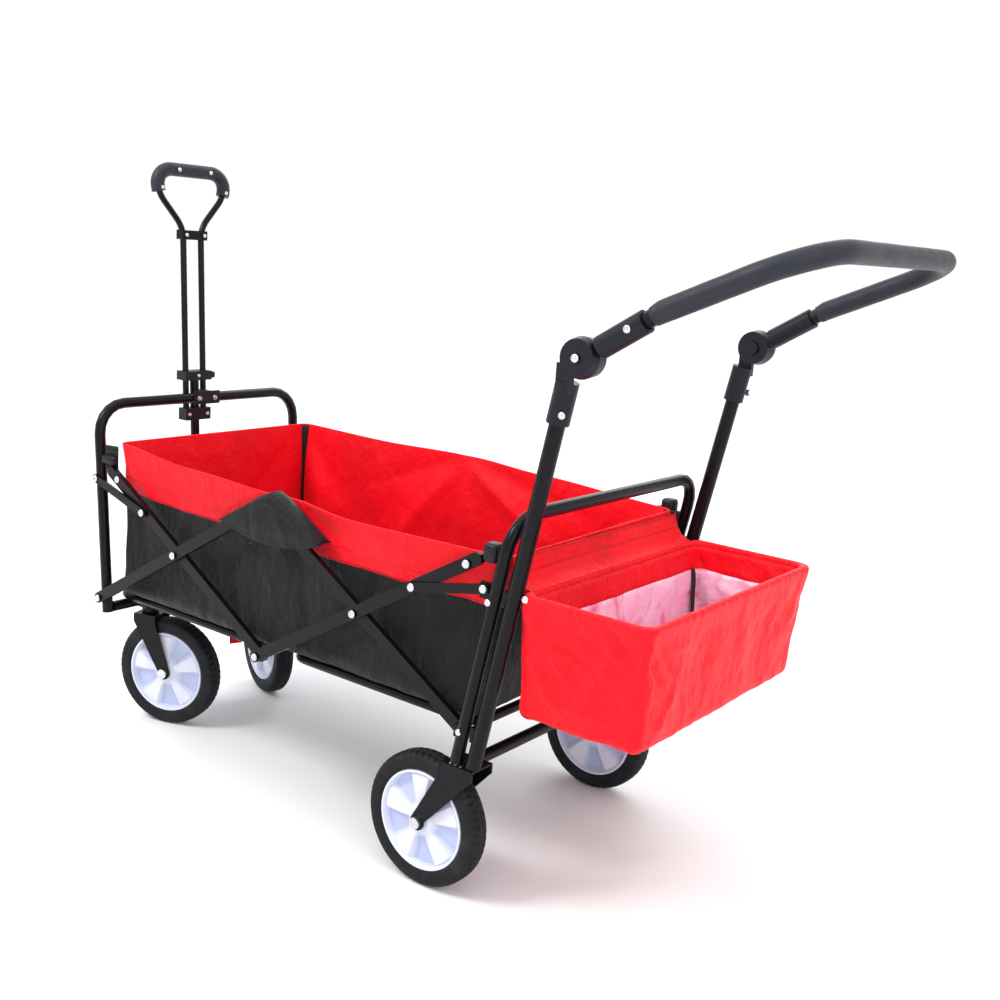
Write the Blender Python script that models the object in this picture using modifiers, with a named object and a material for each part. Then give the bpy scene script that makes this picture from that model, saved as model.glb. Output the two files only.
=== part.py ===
"""Folding camp wagon: a scissor-sided steel frame with a fabric cargo basket, a rear basket, an
adjustable push handle, a telescoping pull handle, two fixed rear wheels and two swivelling front casters.

Frame: +X to the rear (push handle), +Y across, +Z up, in metres. The origin is on the floor under the
middle of the whole wagon. "left" pieces are on the -Y side and "right" pieces on the +Y side.
"""

import math

import bmesh
import bpy
import numpy as np
from mathutils import Matrix, Vector

# ---------------------------------------------------------------- driving dimensions
GAP = 0.0003
MID_X = -0.18904  # centre pivots of the side scissors
HALF_SPAN = 0.415  # centre pivot to end pivot, open
LOW_Z = 0.257  # lower pivots
HIGH_Z = 0.502  # upper pivots

FRAME_RADIUS = 0.0095
FRONT_POST_Y = 0.2303
FRONT_LEAN = -0.0739  # metres of X per metre of height
FRONT_TOP_Z = 0.601
FRONT_FOOT_Z = 0.2275
REAR_POST_Y = 0.2487
REAR_LEAN = 0.1904
REAR_SETBACK = 0.0125  # of the rear posts behind the end pivots
REAR_TOP_Z = 0.579
REAR_FOOT_Z = 0.2155
CORNER_RADIUS = 0.052
CROSSBAR_Z = 0.2349
REAR_CROSSBAR_Z = 0.2085

BAR_WIDTH = 0.019
BAR_THICK = 0.009
INNER_BAR_Y = 0.2343  # mid-plane of the inner scissor bars
OUTER_BAR_Y = 0.2448
FRONT_END_X = -0.392  # the upper ends of the bars, from MID_X
REAR_END_X = 0.428
PIN_RADIUS = 0.0032
PIN_OVERHANG = 0.0010
BAR_OVERHANG = 0.012  # of a bar beyond its end pivots
CAP_SEAT = 0.0118  # of a corner cap above its bar end
EDGE_ROUND = 0.002
HEAD_RADIUS = 0.0062
HEAD_THICK = 0.0022
HEAD_TAPER = 0.6

FRONT_LINK_Z = 0.472
FRONT_LINK_BAR_X = -0.300
REAR_LINK = (0.4492, 0.4740)  # X from MID_X, Z
REAR_LINK_BAR_X = 0.322
LINK_WIDTH = 0.014
LINK_THICK = 0.004
REAR_LINK_Y = OUTER_BAR_Y + BAR_THICK / 2 + GAP + LINK_THICK / 2

WHEEL_RADIUS = 0.1016
TYRE_WIDTH = 0.036
RIM_RADIUS = 0.0762
WHEEL_STEPS = 32
REAR_WHEEL_X = 0.3576
REAR_WHEEL_Y = 0.2300
CASTER_Y = 0.1366
CASTER_TRAIL = 0.045
CASTER_TURN = {"left": math.radians(18.3), "right": math.radians(-20.8)}
FORK_HALF_GAP = 0.0212
FORK_THICK = 0.0030
FORK_TOP_Z = 0.2060
AXLE_RADIUS = 0.0050

LEAF_RADIUS = 0.008
LEAF_Y = 0.1990
LEAF_LENGTH = 0.375

PUSH_RADIUS = 0.011
PUSH_Y = 0.2448
PUSH_OFFSET = 0.0275  # behind the rear posts
HUB_X = 0.5717
HUB_Z = 0.7974
HUB_RADIUS = 0.027
HANDLE_ANGLE = math.radians(32.0)
HANDLE_KNEE = 0.125
HANDLE_UPPER_ANGLE = math.radians(24.0)
HANDLE_UPPER_REACH = 0.2025
HANDLE_BEND = 0.086
FOAM_RADIUS = 0.0140
FOAM_START = 0.112
BUTTON_TRAVEL = 0.004
PUSH_TOP_Z = HUB_Z - 0.060

PULL_LEAN = -0.050
PULL_FOOT_X = -0.4472
PULL_TUBE_RADIUS = 0.0085
TWIN_RADIUS = 0.0058
TWIN_Y = 0.0205
COLLAR_Z = 0.632
GRIP_Z = 1.018
GRIP_HALF_WIDTH = 0.072
NECK_BEND = 0.055
GRIP_BEND = 0.026
GRIP_RADIUS = 0.0125

BASKET_HALF_WIDTH = 0.2245
BASKET_FLOOR_Z = 0.2660
BASKET_RIM_Z = 0.532
BASKET_FRONT_X = -0.392
CLOTH = 0.004
REAR_BASKET = ((0.5098, 0.6955), 0.2340, (0.300, 0.4685))  # X from MID_X, half width, Z
ROD_RADIUS = 0.0035
RIM_PIVOT = (0.5105, 0.4724)

SIDES = {"left": -1, "right": 1}


# ---------------------------------------------------------------- scene, materials, collections
for old in list(bpy.data.objects):
    bpy.data.objects.remove(old)

PARTS = bpy.data.collections.new("folding_camp_wagon")
CUTTERS = bpy.data.collections.new("cutters")
for group in (PARTS, CUTTERS):
    bpy.context.scene.collection.children.link(group)


def material(name, colour, roughness, metallic=0.0):
    made = bpy.data.materials.new(name)
    made.use_nodes = True
    shader = made.node_tree.nodes["Principled BSDF"]
    shader.inputs["Base Color"].default_value = (*colour, 1.0)
    shader.inputs["Roughness"].default_value = roughness
    shader.inputs["Metallic"].default_value = metallic
    return made


MATERIALS = {
    "black_steel": material("black_steel", (0.020, 0.019, 0.024), 0.38, 0.35),
    "black_plastic": material("black_plastic", (0.018, 0.020, 0.026), 0.45),
    "foam": material("foam", (0.035, 0.038, 0.050), 0.85),
    "rubber": material("rubber", (0.016, 0.016, 0.018), 0.80),
    "pale_plastic": material("pale_plastic", (0.62, 0.62, 0.78), 0.40),
    "zinc": material("zinc", (0.62, 0.62, 0.64), 0.30, 1.0),
    "red_nylon": material("red_nylon", (0.78, 0.012, 0.018), 0.62),
    "black_board": material("black_board", (0.02, 0.02, 0.02), 0.75),
}


# ---------------------------------------------------------------- modelling helpers
def add_object(name, data, slot, helper=False):
    obj = bpy.data.objects.new(name, data)
    (CUTTERS if helper else PARTS).objects.link(obj)
    if helper:
        obj.hide_render = True
        obj.display_type = "WIRE"
    else:
        data.materials.append(MATERIALS[slot])
    return obj


def from_bmesh(name, mesh_tool, slot, helper=False):
    data = bpy.data.meshes.new(name)
    mesh_tool.to_mesh(data)
    mesh_tool.free()
    return add_object(name, data, slot, helper)


def box(name, low, high, slot="black_steel", helper=False, bevel=0.0):
    tool = bmesh.new()
    bmesh.ops.create_cube(tool, size=1.0)
    size = Vector(high) - Vector(low)
    middle = (Vector(high) + Vector(low)) / 2
    bmesh.ops.scale(tool, vec=size, verts=tool.verts)
    bmesh.ops.translate(tool, vec=middle, verts=tool.verts)
    obj = from_bmesh(name, tool, slot, helper)
    if bevel:
        rounding = obj.modifiers.new("rounded edges", "BEVEL")
        rounding.width = bevel
        rounding.segments = 1
    return obj


def cylinder(name, start, end, radius, slot="black_steel", sides=16, helper=False, end_radius=None):
    tool = bmesh.new()
    axis = Vector(end) - Vector(start)
    bmesh.ops.create_cone(
        tool,
        cap_ends=True,
        segments=sides,
        radius1=radius,
        radius2=radius if end_radius is None else end_radius,
        depth=axis.length,
    )
    turn = Vector((0, 0, 1)).rotation_difference(axis).to_matrix().to_4x4()
    middle = (Vector(start) + Vector(end)) / 2
    bmesh.ops.transform(tool, matrix=Matrix.Translation(middle) @ turn, verts=tool.verts)
    return from_bmesh(name, tool, slot, helper)


def rounded_path(corners, radius, steps=5):
    """A polyline whose inner corners are arcs of the given radius."""
    corners = [Vector(c) for c in corners]
    path = [corners[0]]
    for before, corner, after in zip(corners, corners[1:], corners[2:]):
        to_before = (before - corner).normalized()
        to_after = (after - corner).normalized()
        half = to_before.angle(to_after) / 2
        reach = radius / math.tan(half)
        centre = corner + (to_before + to_after).normalized() * (radius / math.sin(half))
        start = corner + to_before * reach - centre
        end = corner + to_after * reach - centre
        for step in range(steps + 1):
            path.append(centre + start.normalized().slerp(end.normalized(), step / steps) * radius)
    path.append(corners[-1])
    return path


def tube(name, points, radius, slot="black_steel", resolution=4, closed=False, caps=True):
    curve = bpy.data.curves.new(name, "CURVE")
    curve.dimensions = "3D"
    curve.bevel_depth = radius
    curve.bevel_resolution = resolution
    curve.use_fill_caps = caps
    spline = curve.splines.new("POLY")
    spline.points.add(len(points) - 1)
    for point, place in zip(spline.points, points):
        point.co = (*place, 1.0)
    spline.use_cyclic_u = closed
    return add_object(name, curve, slot)


def to_mesh(obj):
    """Turns a curve object into a mesh object of the same name, with its caps welded."""
    name, slot = obj.name, obj.data.materials[0]
    bpy.context.view_layer.update()
    data = bpy.data.meshes.new_from_object(obj.evaluated_get(bpy.context.evaluated_depsgraph_get()))
    place = obj.matrix_world.copy()
    bpy.data.objects.remove(obj)
    tool = bmesh.new()
    tool.from_mesh(data)
    bmesh.ops.remove_doubles(tool, verts=tool.verts, dist=0.00001)
    bmesh.ops.transform(tool, matrix=place, verts=tool.verts)
    bmesh.ops.recalc_face_normals(tool, faces=tool.faces)
    tool.to_mesh(data)
    tool.free()
    data.materials.clear()
    made = bpy.data.objects.new(name, data)
    made.name = name
    data.materials.append(slot)
    PARTS.objects.link(made)
    return made


def make_helper(obj):
    PARTS.objects.unlink(obj)
    CUTTERS.objects.link(obj)
    obj.hide_render = True
    obj.display_type = "WIRE"


def combine(target, others, operation="UNION"):
    for other in others:
        step = target.modifiers.new(operation.lower(), "BOOLEAN")
        step.operation = operation
        step.solver = "EXACT"
        step.object = other


def arc(centre, radius, start, end, steps):
    return [
        (centre[0] + radius * math.cos(a), centre[1] + radius * math.sin(a))
        for a in np.linspace(start, end, steps + 1)
    ]


def side_plate(name, outline, y, thickness, slot="black_steel", holes=()):
    """A flat plate in an XZ plane, centred on y, with round holes given as ((x, z), radius)."""
    curve = bpy.data.curves.new(name, "CURVE")
    curve.dimensions = "2D"
    curve.fill_mode = "BOTH"
    curve.extrude = thickness / 2
    rings = [outline] + [arc(place, radius, 0, 2 * math.pi, 12)[:-1] for place, radius in holes]
    for ring in rings:
        spline = curve.splines.new("POLY")
        spline.points.add(len(ring) - 1)
        for point, place in zip(spline.points, ring):
            point.co = (*place, 0.0, 1.0)
        spline.use_cyclic_u = True
    obj = add_object(name, curve, slot)
    obj.location = (0, y, 0)
    obj.rotation_euler = (math.pi / 2, 0, 0)
    return to_mesh(obj)


def stadium(start, end, width, overhang, steps=5):
    """Outline of a bar with round ends, whose end centres lie on the line from start to end."""
    start, end = Vector(start), Vector(end)
    along = (end - start).normalized()
    reach = overhang - width / 2
    first, last = start - along * reach, end + along * reach
    heading = math.atan2(along.y, along.x)
    half_turn = math.pi / 2
    return arc(last, width / 2, heading - half_turn, heading + half_turn, steps) + arc(
        first, width / 2, heading + half_turn, heading + 3 * half_turn, steps
    )


def rivet(x, z, inner_y, outer_y, side):
    """A rivet along Y: a shank between two |y| values, with a head beyond the outer one."""
    shank = cylinder(
        "shank", (x, side * inner_y, z), (x, side * outer_y, z), PIN_RADIUS, sides=12, helper=True
    )
    head = cylinder(
        "head",
        (x, side * (outer_y - GAP), z),
        (x, side * (outer_y + HEAD_THICK), z),
        HEAD_RADIUS,
        sides=12,
        helper=True,
        end_radius=HEAD_RADIUS * HEAD_TAPER,
    )
    return [shank, head]


def turned(name, profile, slot, steps=WHEEL_STEPS, centre=(0, 0, 0), turn=0.0):
    """A closed ring profile of (radius, across) points, turned about a level axis at the given heading."""
    tool = bmesh.new()
    corners = [tool.verts.new((radius, 0, across)) for radius, across in profile]
    for first, second in zip(corners, corners[1:] + corners[:1]):
        tool.edges.new((first, second))
    obj = from_bmesh(name, tool, slot)
    screw = obj.modifiers.new("turned", "SCREW")
    screw.steps = steps
    screw.render_steps = steps
    screw.use_merge_vertices = True
    screw.merge_threshold = 0.00005
    screw.use_smooth_shade = True
    obj.rotation_euler = (math.pi / 2, 0, turn)
    obj.location = centre
    return obj


def pivot(name, place, children):
    """An empty on a joint's axis that carries the pieces of one moving body."""
    empty = bpy.data.objects.new(name, None)
    empty.empty_display_size = 0.02
    empty.location = place
    PARTS.objects.link(empty)
    for child in children:
        child.parent = empty
        child.matrix_parent_inverse = Matrix.Translation(place).inverted()
    return empty


def front_x(z):
    return MID_X - HALF_SPAN + FRONT_LEAN * (z - LOW_Z)


def rear_x(z):
    return MID_X + HALF_SPAN + REAR_SETBACK + REAR_LEAN * (z - LOW_Z)


def push_x(z):
    return rear_x(z) + PUSH_OFFSET


def pull_x(z):
    return MID_X + PULL_FOOT_X + PULL_LEAN * (z - CROSSBAR_Z)


def rising_z(x):
    """Height, on a scissor bar that rises away from the middle, at x from MID_X."""
    return LOW_Z + (HIGH_Z - LOW_Z) * abs(x) / HALF_SPAN


# ---------------------------------------------------------------- end frames
def end_frame(name, post_y, foot_z, top_z, x_at):
    """An inverted U of round tube, standing on its two feet."""
    corners = [
        (x_at(foot_z), -post_y, foot_z),
        (x_at(top_z), -post_y, top_z),
        (x_at(top_z), post_y, top_z),
        (x_at(foot_z), post_y, foot_z),
    ]
    return to_mesh(tube(name, rounded_path(corners, CORNER_RADIUS), FRAME_RADIUS))


def front_frame():
    frame = end_frame("front_frame", FRONT_POST_Y, FRONT_FOOT_Z, FRONT_TOP_Z, front_x)
    for side in SIDES.values():
        low = (MID_X - HALF_SPAN, LOW_Z)
        outer = OUTER_BAR_Y + BAR_THICK / 2 + GAP
        combine(frame, rivet(*low, FRONT_POST_Y, outer, side))
        link = (front_x(FRONT_LINK_Z), FRONT_LINK_Z)
        link_outer = OUTER_BAR_Y - BAR_THICK / 2 + LINK_THICK + GAP
        combine(frame, rivet(*link, FRONT_POST_Y, link_outer, side))
    reach = FRONT_POST_Y - FRAME_RADIUS - GAP
    place = (front_x(CROSSBAR_Z), CROSSBAR_Z)
    crossbar = cylinder(
        "front_lower_crossbar", (place[0], -reach, place[1]), (place[0], reach, place[1]), FRAME_RADIUS
    )
    add_caster_plates(crossbar, place)
    add_pull_handle_lugs(crossbar, place)
    clip = handle_clip()
    return [frame, crossbar, clip]


def add_caster_plates(crossbar, place):
    half_x, half_y = 0.019, 0.024
    plates = [
        box(
            "caster_plate",
            (place[0] - half_x, side * CASTER_Y - half_y, place[1] - FRAME_RADIUS - 0.0030),
            (place[0] + half_x, side * CASTER_Y + half_y, place[1] - FRAME_RADIUS + 0.0020),
            helper=True,
        )
        for side in SIDES.values()
    ]
    combine(crossbar, plates)


def add_pull_handle_lugs(crossbar, place):
    lug_y, lug_half_thick, lug_half_height = 0.0125, 0.0015, 0.0085
    foot_x = pull_x(CROSSBAR_Z)
    solids = [
        box(
            "lug",
            (foot_x - lug_half_height, side * lug_y - lug_half_thick, place[1] - lug_half_height),
            (place[0], side * lug_y + lug_half_thick, place[1] + lug_half_height),
            helper=True,
        )
        for side in SIDES.values()
    ]
    solids.append(
        cylinder(
            "lug_pin",
            (foot_x, -lug_y - 0.004, place[1]),
            (foot_x, lug_y + 0.004, place[1]),
            0.0040,
            sides=12,
            helper=True,
        )
    )
    combine(crossbar, solids)


def handle_clip():
    """A plate bolted behind the front frame's top bar, with an arm over it that holds the pull handle."""
    bar_x = front_x(FRONT_TOP_Z)
    back = bar_x + FRAME_RADIUS + GAP
    half_width, low, high, thick = 0.030, FRONT_TOP_Z - 0.011, FRONT_TOP_Z + 0.0135, 0.0025
    clip = box("handle_clip", (back, -half_width, low), (back + thick, half_width, high), "black_plastic")
    top = FRONT_TOP_Z + FRAME_RADIUS + GAP
    front = pull_x(FRONT_TOP_Z) + PULL_TUBE_RADIUS + 0.0008
    arm = box("arm", (front, -0.011, top), (back + thick, 0.011, high), helper=True)
    bolts = [
        cylinder(
            "clip_bolt",
            (back + thick - GAP, y, FRONT_TOP_Z),
            (back + thick + 0.0028, y, FRONT_TOP_Z),
            0.0045,
            sides=12,
            helper=True,
        )
        for y in (-0.018, 0.018)
    ]
    combine(clip, [arm, *bolts])
    return clip


def rear_frame():
    """The rear U, with tabs that reach forwards from its posts to the bars' lower pins and to the links."""
    frame = end_frame("rear_frame", REAR_POST_Y, REAR_FOOT_Z, REAR_TOP_Z, rear_x)
    low_x, link_x, link_z = MID_X + HALF_SPAN, MID_X + REAR_LINK[0], REAR_LINK[1]
    pin_tab = (low_x - 0.008, rear_x(LOW_Z), INNER_BAR_Y + BAR_THICK / 2 + GAP, 0.2440, -0.009, 0.009)
    link_tab = (link_x - 0.009, rear_x(link_z), 0.2445, 0.2492, -0.014, 0.009)
    for side in SIDES.values():
        for (x0, x1, y0, y1, below, above), z in ((pin_tab, LOW_Z), (link_tab, link_z)):
            y_low, y_high = sorted((side * y0, side * y1))
            tab = box("tab", (x0, y_low, z + below), (x1, y_high, z + above), helper=True)
            combine(frame, [tab])
        pin_inner, pin_outer = INNER_BAR_Y - BAR_THICK / 2 - PIN_OVERHANG, 0.2430
        pin_ends = [(low_x, side * y, LOW_Z) for y in (pin_inner, pin_outer)]
        combine(frame, [cylinder("pin", *pin_ends, PIN_RADIUS, sides=12, helper=True)])
        link_face = REAR_LINK_Y + LINK_THICK / 2 + GAP
        combine(frame, rivet(link_x, link_z, 0.2470, link_face, side))
    reach = REAR_WHEEL_Y - FORK_HALF_GAP - FORK_THICK - GAP
    x, z = rear_x(REAR_CROSSBAR_Z) - 0.004, REAR_CROSSBAR_Z - FRAME_RADIUS
    cylinder("rear_lower_crossbar", (x, -reach, z), (x, reach, z), FRAME_RADIUS)


# ---------------------------------------------------------------- side scissors, links, floor leaves
def scissor_bars():
    """Eight bars: on each side 1 front-top to middle-bottom, 2 front-bottom to middle-top, 3 middle-top to
    rear-bottom, 4 middle-bottom to rear-top. Bars 1 and 3 lie in the inner layer, 2 and 4 outside them."""
    half = HALF_SPAN / 2
    cross_z = (LOW_Z + HIGH_Z) / 2
    lines = {
        1: ((0, LOW_Z), (FRONT_END_X, rising_z(FRONT_END_X))),
        2: ((-HALF_SPAN, LOW_Z), (0, HIGH_Z)),
        3: ((HALF_SPAN, LOW_Z), (0, HIGH_Z)),
        4: ((0, LOW_Z), (REAR_END_X, rising_z(REAR_END_X))),
    }
    holes = {
        1: [(0, LOW_Z), (-half, cross_z), (FRONT_LINK_BAR_X, rising_z(FRONT_LINK_BAR_X))],
        2: [(-HALF_SPAN, LOW_Z)],
        3: [(HALF_SPAN, LOW_Z), (half, cross_z), (0, HIGH_Z)],
        4: [],
    }
    pins = {2: [(-half, cross_z), (0, HIGH_Z)], 4: [(0, LOW_Z), (half, cross_z)]}
    bars = {}
    for side_name, side in SIDES.items():
        for number, ends in lines.items():
            inner = number in (1, 3)
            y = INNER_BAR_Y if inner else OUTER_BAR_Y
            ends = [(MID_X + x, z) for x, z in ends]
            bar = side_plate(
                f"scissor_bar_{number}_{side_name}",
                stadium(*ends, BAR_WIDTH, BAR_OVERHANG),
                side * y,
                BAR_THICK,
                holes=[((MID_X + x, z), PIN_RADIUS + GAP) for x, z in holes[number]],
            )
            for x, z in pins.get(number, []):
                inner_y = INNER_BAR_Y - BAR_THICK / 2 - PIN_OVERHANG
                combine(bar, rivet(MID_X + x, z, inner_y, OUTER_BAR_Y + BAR_THICK / 2, side))
            bars.setdefault(number, []).append(bar)
    return bars


def corner_caps():
    """Moulded caps on the end bars' upper ends, which rest against the frame posts when the wagon is open."""
    front_end, rear_end = MID_X + FRONT_END_X, MID_X + REAR_END_X
    gap = FRAME_RADIUS + 0.0015
    front_z, rear_z = rising_z(FRONT_END_X) + CAP_SEAT, rising_z(REAR_END_X) + CAP_SEAT
    spots = {
        "front": ((front_x(HIGH_Z) + gap, front_end + 0.006), (0.2270, 0.2398), (front_z, front_z + 0.0227)),
        "rear": ((rear_end - 0.010, rear_x(HIGH_Z) - gap), (0.2270, 0.2500), (rear_z, rear_z + 0.0182)),
    }
    caps = {"front": [], "rear": []}
    for side_name, side in SIDES.items():
        for end, (xs, ys, zs) in spots.items():
            y_low, y_high = sorted(side * y for y in ys)
            low, high = (xs[0], y_low, zs[0]), (xs[1], y_high, zs[1])
            cap = box(f"{end}_corner_cap_{side_name}", low, high, "black_plastic", bevel=EDGE_ROUND)
            caps[end].append(cap)
    return caps


def corner_links():
    links = {"front": [], "rear": []}
    layer = {
        "front": OUTER_BAR_Y - BAR_THICK / 2 + LINK_THICK / 2,
        "rear": REAR_LINK_Y,
    }
    ends = {
        "front": ((front_x(FRONT_LINK_Z), FRONT_LINK_Z), FRONT_LINK_BAR_X),
        "rear": ((MID_X + REAR_LINK[0], REAR_LINK[1]), REAR_LINK_BAR_X),
    }
    for side_name, side in SIDES.items():
        for end, (post, bar_x) in ends.items():
            bar_end = (MID_X + bar_x, rising_z(bar_x))
            link = side_plate(
                f"{end}_link_{side_name}",
                stadium(post, bar_end, LINK_WIDTH, 0.009, steps=4),
                side * layer[end],
                LINK_THICK,
                holes=[(post, PIN_RADIUS + GAP)],
            )
            links[end].append(link)
    return links


def floor_leaves():
    """Two hinged halves of the floor frame, each a ring of tube, with a stiff board above each."""
    leaves = {}
    for end, way in (("front", -1), ("rear", 1)):
        hinge_x = MID_X + way * HALF_SPAN
        free_x = hinge_x - way * LEAF_LENGTH
        ring = [(hinge_x, -LEAF_Y), (free_x, -LEAF_Y), (free_x, LEAF_Y), (hinge_x, LEAF_Y)]
        if way < 0:
            ring.reverse()
        start = ((ring[0][0] + ring[3][0]) / 2, (ring[0][1] + ring[3][1]) / 2)
        corners = [(*start, LOW_Z)] + [(x, y, LOW_Z) for x, y in ring] + [(*start, LOW_Z)]
        path = rounded_path(corners, 0.022, steps=4)[:-1]
        leaf = tube(f"floor_leaf_{end}", path, LEAF_RADIUS, closed=True, caps=False, resolution=3)
        board_z = BASKET_FLOOR_Z + CLOTH + GAP
        edges = sorted((hinge_x - way * 0.030, free_x))
        board = box(
            f"floor_board_{end}",
            (edges[0], -0.205, board_z),
            (edges[1], 0.205, board_z + 0.006),
            "black_board",
        )
        leaves[end] = [to_mesh(leaf), board]
    return leaves


# ---------------------------------------------------------------- wheels
def tyre_profile():
    half, shoulder = TYRE_WIDTH / 2, 0.0055
    crown = WHEEL_RADIUS
    return [
        (RIM_RADIUS, half - 0.002),
        (RIM_RADIUS, -half + 0.002),
        (crown - 0.010, -half),
        (crown - 0.0015, -half + shoulder),
        (crown, -0.005),
        (crown, 0.005),
        (crown - 0.0015, half - shoulder),
        (crown - 0.010, half),
    ][::-1]


def hub_profile():
    half, web, bore = TYRE_WIDTH / 2 - 0.0015, 0.007, AXLE_RADIUS + GAP
    rim = RIM_RADIUS - GAP
    return [
        (rim, half - 0.001),
        (rim, -half + 0.001),
        (rim - 0.007, -half),
        (rim - 0.012, -web),
        (0.024, -web),
        (0.017, -half - 0.001),
        (bore, -half - 0.001),
        (bore, half + 0.001),
        (0.017, half + 0.001),
        (0.024, web),
        (rim - 0.012, web),
        (rim - 0.007, half),
    ]


def wheel(prefix, centre, turn):
    tyre = turned(f"{prefix}_tyre", tyre_profile(), "rubber", centre=centre, turn=turn)
    hub = turned(f"{prefix}_wheel_hub", hub_profile(), "pale_plastic", centre=centre, turn=turn)
    return [tyre, hub]


def axle(name, centre, turn):
    across = Matrix.Rotation(turn, 3, "Z") @ Vector((0, 1, 0))
    centre = Vector(centre)
    arm_face = FORK_HALF_GAP + FORK_THICK + GAP
    shaft = cylinder(
        name, centre - across * arm_face, centre + across * arm_face, AXLE_RADIUS, "zinc", sides=16
    )
    heads = [
        cylinder(
            "axle_head",
            centre + across * way * (arm_face - 0.0001),
            centre + across * way * (arm_face + 0.0055),
            0.0088,
            sides=6 if way > 0 else 16,
            helper=True,
        )
        for way in (-1, 1)
    ]
    combine(shaft, heads)
    return shaft


def fork(name, axle_x, plate_x):
    """An inverted U of steel plate that straddles a wheel, built at the origin with its heading along +X.
    axle_x is the wheel's centre and plate_x the two ends of the top plate."""
    low_plate = FORK_TOP_Z - 0.012
    outline = [(plate_x[1], FORK_TOP_Z + FORK_THICK), (plate_x[0], FORK_TOP_Z + FORK_THICK)]
    outline += [(plate_x[0], low_plate)]
    outline += arc((axle_x, WHEEL_RADIUS), 0.0125, math.radians(170), math.radians(370), 8)
    outline += [(plate_x[1], low_plate)]
    body, other = [
        side_plate(
            name,
            outline,
            side * (FORK_HALF_GAP + FORK_THICK / 2),
            FORK_THICK,
            holes=[((axle_x, WHEEL_RADIUS), AXLE_RADIUS + GAP)],
        )
        for side in SIDES.values()
    ]
    make_helper(other)
    reach = FORK_HALF_GAP + FORK_THICK / 2
    plate = box(
        "fork_plate",
        (plate_x[0] + 0.0005, -reach, FORK_TOP_Z),
        (plate_x[1] - 0.0005, reach, FORK_TOP_Z + FORK_THICK - 0.0001),
        helper=True,
    )
    combine(body, [plate, other])
    return body, [plate, other]


def place_fork(body, helpers, origin, turn):
    for piece in [body, *helpers]:
        piece.location = origin
        piece.rotation_euler = (0, 0, turn)


def rear_wheels():
    made = {}
    for side_name, side in SIDES.items():
        centre = (MID_X + REAR_WHEEL_X, side * REAR_WHEEL_Y, WHEEL_RADIUS)
        body, helpers = fork(f"rear_fork_{side_name}", 0.0, (0.038, 0.094))
        place_fork(body, helpers, (centre[0], centre[1], 0), 0.0)
        axle(f"rear_axle_{side_name}", centre, 0.0)
        made[side_name] = wheel(f"rear_{side_name}", centre, 0.0)
    return made


def casters():
    made = {}
    for side_name, side in SIDES.items():
        turn = CASTER_TURN[side_name]
        stem = Vector((front_x(CROSSBAR_Z), side * CASTER_Y, 0))
        heading = Matrix.Rotation(turn, 3, "Z") @ Vector((1, 0, 0))
        centre = stem + heading * CASTER_TRAIL + Vector((0, 0, WHEEL_RADIUS))
        body, helpers = fork(f"caster_fork_{side_name}", CASTER_TRAIL, (-0.020, 0.026))
        swivel_low, swivel_high = FORK_TOP_Z + FORK_THICK - 0.001, CROSSBAR_Z - FRAME_RADIUS - 0.0036
        swivel = cylinder(
            "swivel", (0, 0, swivel_low), (0, 0, swivel_high), 0.0155, sides=20, helper=True
        )
        combine(body, [swivel])
        place_fork(body, [*helpers, swivel], stem, turn)
        made[side_name] = {
            "fork": [body, axle(f"caster_axle_{side_name}", centre, turn)],
            "wheel": wheel(f"front_{side_name}", centre, turn),
            "stem": stem,
            "centre": centre,
        }
    return made


# ---------------------------------------------------------------- push handle
def push_tubes():
    """The two tubes behind the rear posts that carry the push handle's hubs."""
    low_z, high_z = 0.2135, PUSH_TOP_Z
    strap_heights = (0.262, 0.466)
    for side_name, side in SIDES.items():
        low = (push_x(low_z), side * PUSH_Y, low_z)
        high = (push_x(high_z), side * PUSH_Y, high_z)
        body = to_mesh(tube(f"push_tube_{side_name}", [low, high], PUSH_RADIUS))
        straps = [
            box(
                "strap",
                (rear_x(z) + FRAME_RADIUS + 0.0028, side * PUSH_Y - 0.0060, z - 0.011),
                (push_x(z), side * PUSH_Y + 0.0060, z + 0.011),
                helper=True,
            )
            for z in strap_heights
        ]
        combine(body, straps)


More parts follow.
